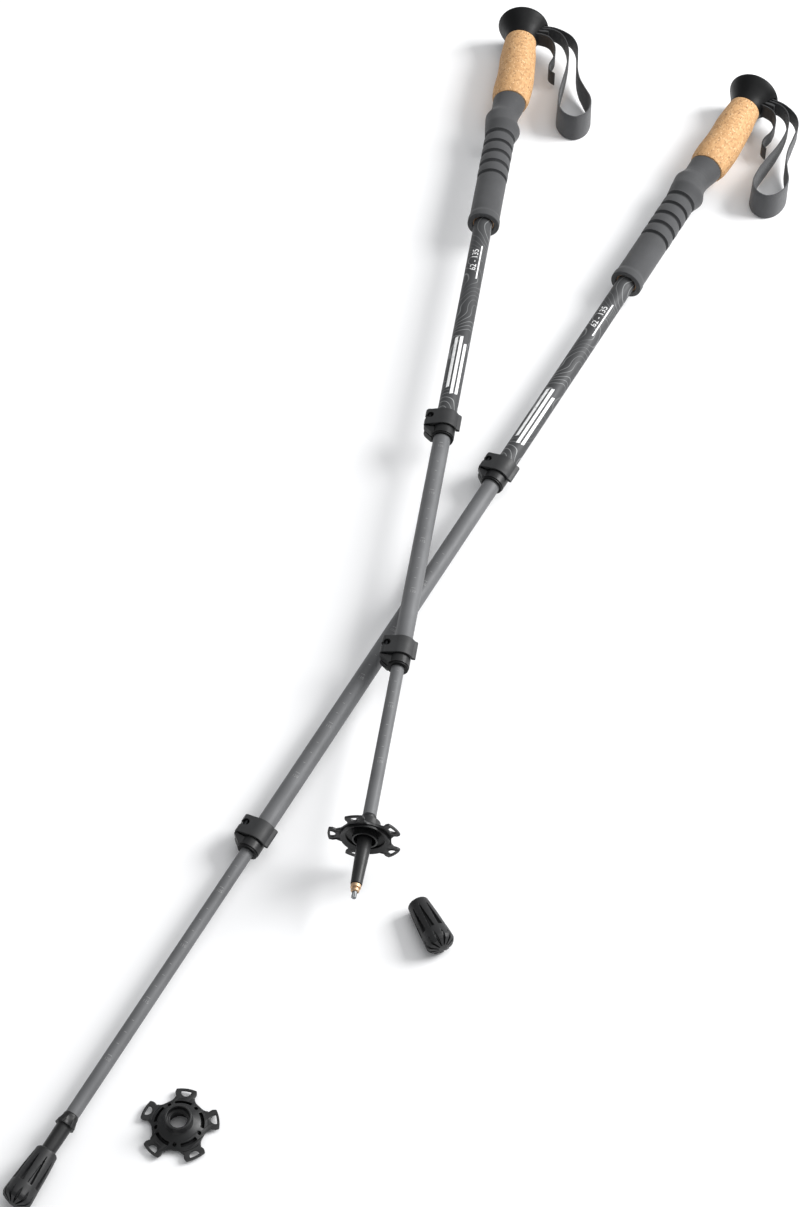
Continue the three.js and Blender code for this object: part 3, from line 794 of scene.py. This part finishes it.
def foam_grip(name):
    station = NECK_ROWS[0][0]
    skin = [(GRIP_BORE, station)]
    while station < LIP_START:
        half = value_at(NECK_ROWS, station, 1) if station < NECK_END else FOAM_RADIUS
        skin.append((half - groove_depth(station), station))
        station += FOAM_STEP
    lip = [(FOAM_RADIUS, LIP_START), (13.25, 267.6), (13.8, 269.4), (13.9, 272), (13.8, FOAM_END)]
    mouth = [(RECESS.radius, FOAM_END), (RECESS.radius, RECESS.start), (GRIP_BORE, RECESS.start)]
    skin += rounded(lip + mouth, 0.9, 5)
    warp = sideways([*NECK_ROWS, (FOAM_END, FOAM_RADIUS, 0.1)], 10)
    return shade(turned(name, skin, ring=True, segments=112, warp=warp), 50)


# ---- tubes and their printed marks ----

INK, WRAP_STEP = 0.05, 1.0
MARKS = Sizes(count=5, pitch=50, first=100, ticks=4, angle=84, reach=245)


def tube(name, outer, inner, start, end, edge=0.25):
    profile = [(inner, start), (outer, start), (outer, end), (inner, end)]
    return shade(turned(name, rounded(profile, edge, 3, closed=True), ring=True))


def wrapped(piece, radius, angle, station, turn=0.0):
    """Wraps a flat drawing round a tube at an angle (degrees) and a station."""
    piece.data.transform(Matrix.Rotation(radians(turn), 4, "Z"))
    with edited(piece.data) as shape:
        bmesh.ops.triangulate(shape, faces=shape.faces)
        for _ in range(3):
            wide = [e for e in shape.edges if abs(e.verts[0].co.x - e.verts[1].co.x) > WRAP_STEP]
            if wide:
                bmesh.ops.subdivide_edges(shape, edges=wide, cuts=1)
                bmesh.ops.triangulate(shape, faces=shape.faces)
        for vertex in shape.verts:
            bearing = angle + degrees(vertex.co.x / radius)
            reach = radius + INK * (1 if vertex.co.z > 0 else 0.2)
            vertex.co = (*polar(reach, bearing), station + vertex.co.y)
        bmesh.ops.recalc_face_normals(shape, faces=shape.faces)
    return piece


def figures(name, text, size):
    """Plain figures as a thin flat solid, centred."""
    data = bpy.data.curves.new(name, "FONT")
    data.body = text
    data.size = size
    data.align_x = data.align_y = "CENTER"
    data.extrude = INK
    data.resolution_u = 3
    return bake(linked(name, data))


def joined(name, pieces):
    """Joins wrapped drawings into one piece."""
    mesh = bpy.data.meshes.new(name)
    with edited(mesh) as shape:
        for piece in pieces:
            shape.from_mesh(piece.data)
            bpy.data.objects.remove(piece)
    return linked(name, mesh)


def bar(width, length, slant=0.0):
    x, y = width / 2, length / 2
    return slab("bar", [(-x, -y), (x, slant - y), (x, y), (-x, y - slant)], 0.2, -INK, INK, 0.01)


def stripes(name):
    """Three plain slanted stripes above the lock and the length range in figures."""
    parts = []
    for k, (angle, length) in enumerate(((112, 58), (82, 66), (52, 58))):
        parts.append(wrapped(bar(2.6, length, 1.3), UPPER_RADIUS, angle, 446 + 3 * k))
    parts.append(wrapped(bar(1.2, 40, 0.6), UPPER_RADIUS, 64, 328))
    parts.append(wrapped(figures("range", "62 - 135", 7.6), UPPER_RADIUS, 96, 326, 270))
    return joined(name, parts)


def height_marks(name, radius, start):
    """A scale of short ticks with a figure every 50 mm, as on any adjustable pole."""
    parts = []
    for k in range(MARKS.count):
        station = start + MARKS.pitch * k
        figure = figures("mark", str(MARKS.first + MARKS.pitch // 10 * k), 3.2)
        parts.append(wrapped(figure, radius, MARKS.angle, station, 180))
        for n in range(MARKS.ticks):
            tick = bar(1.8 if n else 3.4, 0.45)
            parts.append(wrapped(tick, radius, MARKS.angle, station - 3.4 - 10 * n))
    return joined(name, parts)


def guide(name, bore, head, end):
    """The expander plug in a sliding tube's upper end: a split head with two grip rings."""
    spigot, top, low = bore - 0.4, end - 6, end + 18
    profile = [(0, top), (head - 0.5, top), (head, end - 5.4), (head, end - 4), (head - 0.4, end - 3.7),
               (head, end - 3.4), (head, end - GAP), (spigot, end - GAP), (spigot, low), (0, low)]
    piece = turned(name, rounded(profile, 0.3, 3), segments=48)
    combine(piece, box_tool(-head - 1, head + 1, -0.5, 0.5, end - 8, end - 1.5))
    return shade(piece)


# ---- flip lock ----

WALL, EAR_REACH, EAR_DEPTH, SLIT = 1.4, 6.5, 6.6, 0.6
LEVER_LENGTH, HUB_RADIUS, PIVOT_RADIUS, SCREW_RADIUS, SCREW_AT = 15.9, 3.7, 2.1, 1.25, 8.1
HOLE_SLACK = 0.35


def lock_sizes(tube_radius):
    """Where the parts of a lock lie round a tube of some radius."""
    ring = tube_radius + WALL
    return Sizes(bore=tube_radius + GAP, ring=ring, band_in=ring + 0.4, band_out=ring + 2.1,
                 ear_x=-ring - EAR_REACH, pivot_x=-ring - 3.2, pivot_y=ring * 0.22 + 2.5)


def clamp(name, lock):
    """A split collar with two ears that the tension screw draws together."""
    lean = degrees(asin(EAR_DEPTH / lock.ring))
    gap_out = degrees(asin(SLIT / lock.ring))
    gap_in = degrees(asin(SLIT / lock.bore))
    lower_ear = rounded([(-lock.bore, -SLIT), (lock.ear_x, -SLIT), (lock.ear_x, -EAR_DEPTH),
                         (-lock.ring * cos(radians(lean)), -EAR_DEPTH)], 2.6, 5)
    outline = [*lower_ear[1:], *arc(0, 0, lock.ring, 181 + lean, 540 - gap_out, 56),
               *arc(0, 0, lock.bore, 180 - gap_in, -180 + gap_in, 56)]
    piece = plate(name, [outline], 0, LOCK_LENGTH, 0.35)
    root, top = lock.ring - 0.5, EAR_DEPTH - 0.4
    on_band = -(root ** 2 - top ** 2) ** 0.5
    upper_ear = [(-root, SLIT), (lock.ear_x, SLIT), (lock.ear_x, top), (on_band, top)]
    combine(piece, slab("tool", upper_ear, 1.6, LEVER_LENGTH + 0.8, LOCK_LENGTH - 0.1, 0.35, 4), "UNION")
    outside = lock.ear_x - 1
    corner = [(outside, 16.4), (-lock.ring + 0.6, LOCK_LENGTH + 0.4), (outside, LOCK_LENGTH + 1)]
    combine(piece, upright_outline(slab("tool", corner, 0.3, -10, 10, 0.1, 2)))
    hole = rod("tool", SCREW_RADIUS + HOLE_SLACK, -10, 0, 0.1)
    combine(piece, upright(hole, lock.pivot_x, SCREW_AT))
    return shade(piece)


# The screw's slots in a lever's hub, as (right of the pivot, above the pivot, half length):
# one for the closed lever, and a taller, narrower one for its swing.
SCREW_SLOTS = [(1.9, 1.2, 2.1), (0.3, 2.9, 1.9)]
BARREL_HOLE = Sizes(radius=2.9, x=0.5, station=-1.5)


def lever(name, lock):
    """A band over the collar, from the pivot hub on the left to a flared tab on the right."""
    x, y, out = lock.pivot_x, lock.pivot_y, lock.band_out
    tab = [*arc(0, 0, lock.band_in, 60, 16, 8), (lock.band_in + 0.2, out * 0.1), (out + 1.5, out * 0.12),
           (out + 1.3, out * 0.3), *arc(0, 0, out, 26, 60, 8)]
    outline = [*rounded(tab, 0.5, 3), *arc(0, 0, out, 62, 112, 14), *arc(x, y, HUB_RADIUS, 85, 325, 26),
               *arc(0, 0, lock.band_in, 158, 64, 24)]
    barrel = arc(x, y, PIVOT_RADIUS + HOLE_SLACK - 0.1, 0, 345, 23)
    piece = plate(name, [outline, barrel], 0, LEVER_LENGTH, 0.55)
    for right, above, half in SCREW_SLOTS:
        combine(piece, box_tool(x - 8, x + right, y - 8, y + above, SCREW_AT - half, SCREW_AT + half))
    access = rod("tool", BARREL_HOLE.radius, y - 1, y + 9, 0.1)
    combine(piece, upright(access, x + BARREL_HOLE.x, SCREW_AT + BARREL_HOLE.station))
    return shade(piece)


def pivot(name, lock):
    piece = rod(name, PIVOT_RADIUS, 0.2, LEVER_LENGTH - 0.2, 0.3)
    piece.data.transform(Matrix.Translation((lock.pivot_x, lock.pivot_y, 0)))
    return shade(piece)


def tension_screw(name, lock):
    """A socket-head screw from below the ears up into the pivot barrel."""
    top, seat = lock.pivot_y + PIVOT_RADIUS - 0.4, -EAR_DEPTH - GAP
    head, socket = 2.6, 1.3
    profile = [(0, seat - 0.5), (socket, seat - 0.5), (socket, seat - 1.3), (head, seat - 1.3),
               (head, seat), (SCREW_RADIUS, seat), (SCREW_RADIUS, top), (0, top)]
    piece = turned(name, rounded(profile, 0.2, 3), segments=36)
    return shade(upright(piece, lock.pivot_x, SCREW_AT))


def bushing(name, lock, inner_radius):
    """The liner between the collar and the sliding tube, with a flange past the collar's end."""
    inner, outer, lip = inner_radius + GAP, lock.bore - GAP, lock.ring - 0.4
    start, flange, end = TUBE_INTO_LOCK + GAP, LOCK_LENGTH + GAP, LOCK_LENGTH + GAP + 1.4
    profile = [(inner, start), (outer, start), (outer, flange), (lip, flange), (lip, end), (inner, end)]
    return shade(turned(name, rounded(profile, 0.35, 3, closed=True), ring=True))


# ---- tip: ferrule, collar, carbide, basket and rubber foot ----

SHAFT_END = 58.0
FINS = Sizes(count=8, start=0.8, end=8.9, root=5.45, depth=1.4)
FLUTES = Sizes(count=6, start=65.5, depth=0.16)
STAR = Sizes(arms=5, top=17.2, end=19.0, valley=18.8, neck=21.5, reach=27.3, base=21.0, dome=19.6,
             inner=9.0, rise=5.8, cone=13.1)


def wave(count, angle):
    """Runs from 0 to 1 and back, so many times round a turn."""
    return 0.5 - 0.5 * cos(count * angle)


def tip_ferrule(name):
    """The plastic tip: a finned collar against the tube and a tapered shaft."""
    profile = [(0, -24), (3.9, -24), (3.9, 0), (5.3, 0), (5.9, 3), (7.4, 7.4), (7.5, 8.6), (7.1, 9),
               (5.5, 9), (5.2, 30), (4.2, SHAFT_END), (2.1, SHAFT_END), (2.1, SHAFT_END - 8),
               (0, SHAFT_END - 8)]

    def fins(point, angle):
        radius = hypot(point.x, point.y)
        if FINS.start < point.z < FINS.end and radius > FINS.root + 0.15:
            depth = min(FINS.depth, (radius - FINS.root) * 0.85) * wave(FINS.count, angle) ** 0.35
            point.xy *= (radius - depth) / radius
        return point

    return shade(turned(name, finer(rounded(profile, 0.3, 3), 0.7), segments=160, warp=fins))


def tip_collar(name):
    """A stepped ring pressed over the shaft's end."""
    start = SHAFT_END + GAP
    profile = [(2.1, start), (3.8, start), (3.8, 60.9), (2.7, 61.1), (2.7, 61.8), (3.1, 62), (3.1, 63.6),
               (2.1, 64.4)]
    return shade(turned(name, rounded(profile, 0.25, 4, closed=True), ring=True, segments=64))


def carbide_tip(name):
    """The hard tip, fluted along its length and hollowed at its end."""
    start = SHAFT_END - 7.7
    profile = [(0, start), (1.85, start), (1.85, 68.9), (1.5, 69.3), (0.9, 69.2), (0, 68.6)]

    def flutes(point, angle):
        if point.z > FLUTES.start:
            point.xy *= 1 - FLUTES.depth * wave(FLUTES.count, angle)
        return point

    return shade(turned(name, finer(rounded(profile, 0.15, 3), 0.5), segments=72, warp=flutes))


def star_arm(arm):
    """One arm's edge, from one valley to the next: a stepped neck and a rounded end."""
    valley, neck, reach = STAR.valley, STAR.neck, STAR.reach
    corners = (valley, arm - 36), (valley, arm - 23), (neck, arm - 18.5)
    entry = bend(*(Vector(polar(*corner)) for corner in corners), 8)
    step = [polar(neck + 0.2, arm - 16.6), polar(neck + 0.9, arm - 16.9), polar(reach - 2.6, arm - 17.6)]
    half = entry + rounded([entry[-1], *step, polar(reach, arm - 15), polar(reach, arm - 8)], 0.7, 3)[1:]
    mirror = []
    for x, y in reversed(half):
        mirror.append(polar(hypot(x, y), 2 * arm - degrees(atan2(y, x))))
    return half + arc(0, 0, reach, arm - 7, arm + 7, 6) + mirror[:-1]


def star_holes(arm):
    """A D-shaped eye near the arm's end, a curved slot by the hub and a round hole in the valley."""
    centre = polar(24.9, arm)
    inner = arc(*centre, 3.5, arm + 90, arm + 270, 14)
    eye = rounded([*inner, *arc(0, 0, 25.6, arm - 7.6, arm + 7.6, 4)], 0.35, 2, closed=True)
    slot = rounded([*arc(0, 0, 15.0, arm - 21, arm + 21, 14), *arc(0, 0, 17.2, arm + 21, arm - 21, 14)],
                   0.8, 3, closed=True)
    dot = arc(*polar(15.6, arm + 36), 1.35, 0, 345, 15)
    return [eye, slot, dot]


def dome_share(radius):
    """How far up the dome's slope a radius lies: 0 at its rim and 1 by the hub."""
    return (STAR.dome - radius) / (STAR.dome - STAR.inner)


def dome_end(radius):
    """The station of the dome's hollow side at a radius."""
    return STAR.end - STAR.rise * dome_share(radius)


def domed(piece):
    """Draws a flat star's middle up into a shallow dome."""
    for vertex in piece.data.vertices:
        vertex.co.z -= STAR.rise * clipped(dome_share(hypot(vertex.co.x, vertex.co.y)))
    return piece


def basket_cone():
    """The plain cone between the hub and the slots, a hair thicker than the star."""
    inner, outer = 8.8, STAR.cone + 0.5
    thickness, proud = STAR.end - STAR.top, 0.06
    profile = [(inner, dome_end(inner) - thickness - proud), (outer, dome_end(outer) - thickness - proud),
               (outer, dome_end(outer) + proud), (inner, dome_end(inner) + proud)]
    return turned("tool", profile, ring=True, segments=120)


def slot_channel():
    """A ring of U section under the slots and dots, so that no light comes through them."""
    inner, outer, wall = 14.3, 17.9, 0.6
    low, high = dome_end(inner), dome_end(outer)
    profile = [(inner, low - 0.4), (inner, low + 2.3), (outer, high + 2.3), (outer, high - 0.4),
               (outer - wall, high - 0.4), (outer - wall, high + 1.5), (inner + wall, low + 1.7),
               (inner + wall, low - 0.4)]
    return turned("tool", profile, ring=True, segments=120)


def basket_hub():
    """The hub: a socket over the ferrule's collar and a thinner wall that grips the shaft."""
    base, ring, grip = STAR.base, 7.8, 5.9
    profile = [(ring, 5), (9.2, 5), (9.5, 10.4), (10.1, 12.1), (9.4, 13), (9.4, base), (8, base), (8, 12.4),
               (grip, 12.4), (grip, 9.4), (ring, 9.4)]
    return turned("tool", rounded(profile, 0.5, 4, closed=True), ring=True, segments=112)


def basket(name):
    """A star of flat arms round a slotted dome, with a hub ring that grips the ferrule."""
    top = STAR.top
    arms = [180 + k * 360 / STAR.arms for k in range(STAR.arms)]
    loops = [[point for arm in arms for point in star_arm(arm)]]
    for arm in arms:
        loops += star_holes(arm)
    loops += [arc(0, 0, STAR.cone, 0, 354, 59)]
    piece = domed(plate(name, loops, top, STAR.end, 0.3))
    combine(piece, basket_cone(), "UNION")
    for arm in arms:
        rib = [*arc(0, 0, 19.3, arm - 17, arm + 17, 10), *arc(0, 0, 20.2, arm + 17, arm - 17, 10)]
        combine(piece, slab("tool", rib, 0.3, top - 0.7, top + 0.6, 0.15, 2), "UNION")
    combine(piece, slot_channel(), "UNION")
    combine(piece, basket_hub(), "UNION")
    return shade(piece, 32)


FOOT = Sizes(flutes=9, flute_start=35.5, flute_end=57.5, treads=12, tread_start=61.5, rim=67.0, boss=3.4,
             widest=66.0, end=72.5)
FOOT_SKIN = [(7, 29.6), (7.9, 30.6), (9.2, 44), (10.7, FOOT.widest)]


def flat_topped(angle, count, half):
    """A bump from 0 to 1 in the middle of each of so many equal shares; half is its half width."""
    away = abs((angle * count / (2 * pi)) % 1 - 0.5) * 2
    return max(0.0, 1 - (away / half) ** 6)


def foot_carve(point, angle):
    """Cuts the pointed flutes into the side, and radial grooves that notch the tread's rim."""
    radius = hypot(point.x, point.y)
    start, end = FOOT.flute_start, FOOT.flute_end
    depth = 0.0
    if start < point.z < end and radius > 7.4:
        share = (point.z - start) / (end - start)
        bump_height = flat_topped(angle, FOOT.flutes, 0.08 + 0.46 * share)
        depth = min(2.4, 16 * share, 4 * (end - point.z)) * bump_height
    if point.z > 60 and radius > FOOT.boss and not (radius < 5 and point.z < 69.9):
        rise = clipped((point.z - FOOT.tread_start) / 5)
        groove = flat_topped(angle, FOOT.treads, 0.05 + 0.31 * rise)
        groove *= min(1.0, (radius - FOOT.boss) / 0.8)
        if point.z > FOOT.rim:
            point.z -= 1.9 * groove
        elif radius > 10:
            depth = 1.5 * groove * rise
    if depth:
        point.xy *= (radius - depth) / radius
    return point


def rubber_foot(name):
    """A tapered rubber boot: pointed flutes round its side and a ribbed, bevelled tread."""
    bore = [(0, 69.8), (2.3, 69.8), (2.3, 66.4), (4.3, 66.1), (4.8, 58.5), (5.8, 29.6)]
    tread = [(10.6, 67.4), (9.3, 69.6), (FOOT.boss, 72.2), (0, FOOT.end)]
    outline = finer(rounded(bore + FOOT_SKIN + tread, 0.35, 3), 0.55)
    return shade(turned(name, outline, segments=240, warp=foot_carve), 50)


# ---- assembly ----

LOOSE_BASKET_TURN, LOOSE_FOOT_HEADING = -45.6, -25.1


def pole_matrix(pole):
    """A pole's resting frame, read from the joints at its head."""
    hinge = JOINTS[f"{pole}_strap_hinge"]
    up = Vector(hinge["axis"]).normalized()
    right = Vector(JOINTS[f"{pole}_wedge_slide"]["axis"]).normalized()
    along = right.cross(up).normalized()
    head = Vector(hinge["pos_m"]) - MM * (PIN.x * right + PIN.station * along)
    matrix = Matrix((right, up, along)).transposed().to_4x4()
    matrix.translation = head
    return matrix


def build_head(pole, matrix):
    body = f"{pole}_upper_section"
    place(pommel(f"{pole}_head"), matrix, body, [f"{pole}_pommel"], "black_plastic")
    place(strap_pin(f"{pole}_head_pin"), matrix, body, [f"{pole}_strap_pin"], "steel")
    wedge = f"{pole}_strap_wedge"
    place(strap_wedge(f"{pole}_head_wedge"), matrix, wedge, [wedge], "wedge_plastic")
    band, length, area = strap(f"{pole}_wrist_strap", matrix)
    place(band, matrix, f"{pole}_strap", [f"{pole}_strap"], "webbing")
    place(cork_grip(f"{pole}_cork"), matrix, body, [f"{pole}_cork_grip"], "cork")
    foam = place(foam_grip(f"{pole}_foam"), matrix, body, [f"{pole}_foam_grip"], "foam")
    start = RECESS.start
    ring = tube(f"{pole}_grip_ring", RECESS.radius - 0.1, UPPER_RADIUS + INK, start + 0.4, start + 3.2, 0.4)
    place(ring, matrix, body, [], "copper")


def build_lock(pole, matrix, which, body, tube_radius, inner_radius, station):
    prefix, lock = f"{pole}_{which}", lock_sizes(tube_radius)
    shapes = {
        # The clamp gets the darker plastic as painted shade under the lever.
        "clamp": (clamp, "shaded_clamp_plastic", body), "lever": (lever, "lock_plastic", f"{prefix}_lever"),
        "pivot": (pivot, "black_oxide", body), "screw": (tension_screw, "steel", body),
    }
    for part, (make, look, rides) in shapes.items():
        piece = make(f"{prefix}_lock_{part}", lock)
        place(piece, matrix, rides, [f"{prefix}_{part}"], look, station)
    piece = bushing(f"{prefix}_lock_bushing", lock, inner_radius)
    place(piece, matrix, body, [f"{prefix}_bushing"], "black_plastic", station)


def build_upper(pole, matrix):
    body, end = f"{pole}_upper_section", UPPER_LOCK + TUBE_INTO_LOCK
    piece = tube(f"{pole}_tube_upper", UPPER_RADIUS, UPPER_BORE, POMMEL_END + GAP, end)
    place(piece, matrix, body, [f"{pole}_upper_tube"], "dark_tube")
    place(stripes(f"{pole}_stripes"), matrix, body, [], "ink")
    build_lock(pole, matrix, "upper", body, UPPER_RADIUS, MIDDLE_RADIUS, UPPER_LOCK)


def build_slider(pole, matrix, section, radii, ends, marks_start):
    """A sliding tube with its guide plug and height marks; radii are the tube's, bore's and plug's."""
    body = f"{pole}_{section}_section"
    outer, bore, head = radii
    piece = tube(f"{pole}_tube_{section}", outer, bore, *ends)
    place(piece, matrix, body, [f"{pole}_{section}_tube"], "grey_tube")
    piece = guide(f"{pole}_plug_{section}", bore, head, ends[0])
    place(piece, matrix, body, [f"{pole}_{section}_guide"], "grey_plastic")
    marks = height_marks(f"{pole}_marks_{section}", outer, marks_start)
    place(marks, matrix, body, [], "faint_ink")
    return body


def build_middle(pole, matrix):
    lock = LOWER_LOCK[pole]
    end = lock + TUBE_INTO_LOCK
    radii = (MIDDLE_RADIUS, MIDDLE_BORE, 6.9)
    body = build_slider(pole, matrix, "middle", radii, (end - MIDDLE_LENGTH, end), lock - MARKS.reach)
    build_lock(pole, matrix, "lower", body, MIDDLE_RADIUS, LOWER_RADIUS, lock)


def build_lower(pole, matrix):
    tip = FERRULE[pole]
    end = tip - GAP
    radii = (LOWER_RADIUS, LOWER_BORE, 5.9)
    body = build_slider(pole, matrix, "lower", radii, (end - LOWER_LENGTH, end), end - MARKS.reach)
    for make, part, look in ((tip_ferrule, "tip_ferrule", "ferrule_plastic"),
                             (tip_collar, "tip_collar", "brass"), (carbide_tip, "carbide_tip", "carbide")):
        place(make(f"{pole}_{part}_piece"), matrix, body, [f"{pole}_{part}"], look, tip)


def loose_basket_matrix():
    """The spare basket lies hub up, about the bore that the record names."""
    openings = frame["record"]["physics"]["openings"]
    low, high = next(o["box_m"] for o in openings if o["name"] == "loose_basket_bore")
    turn = Matrix.Rotation(pi, 4, "X") @ Matrix.Rotation(radians(LOOSE_BASKET_TURN), 4, "Z")
    middle = ((low[0] + high[0]) / 2, (low[1] + high[1]) / 2, STAR.base * MM)
    return Matrix.Translation(middle) @ turn


def loose_foot_matrix():
    """The spare foot lies on its tapered side, where its CAD solid is."""
    heading = radians(LOOSE_FOOT_HEADING)
    (shoulder, shoulder_at), (widest, widest_at) = FOOT_SKIN[-2:]
    taper = (widest - shoulder) / (widest_at - shoulder_at)
    along = Vector((-sin(heading), -cos(heading), taper)).normalized()
    right = Vector((cos(heading), -sin(heading), 0))
    matrix = Matrix((right, along.cross(right), along)).transposed().to_4x4()
    low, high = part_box("loose_rubber_foot")
    rings = [(along * station * MM, radius * MM) for station, radius in ((30.0, 7.6), (widest_at, widest))]
    for k in range(3):
        spread = (1 - along[k] ** 2) ** 0.5
        reach_low = min(middle[k] - radius * spread for middle, radius in rings)
        reach_high = max(middle[k] + radius * spread for middle, radius in rings)
        matrix[k][3] = (low[k] + high[k]) / 2 - (reach_low + reach_high) / 2
    return matrix


for pole_name in ("pole_a", "pole_b"):
    pole_frame = pole_matrix(pole_name)
    build_head(pole_name, pole_frame)
    build_upper(pole_name, pole_frame)
    build_middle(pole_name, pole_frame)
    build_lower(pole_name, pole_frame)

place(basket("trail_basket"), pole_matrix("pole_a"), "mounted_basket", ["mounted_basket"],
      "basket_plastic", FERRULE["pole_a"])
place(rubber_foot("rubber_boot"), pole_matrix("pole_b"), "mounted_rubber_foot",
      ["mounted_rubber_foot"], "rubber", FERRULE["pole_b"])
place(basket("spare_basket"), loose_basket_matrix(), "loose_basket", ["loose_basket"], "basket_plastic")
place(rubber_foot("spare_boot"), loose_foot_matrix(), "loose_rubber_foot", ["loose_rubber_foot"], "rubber")
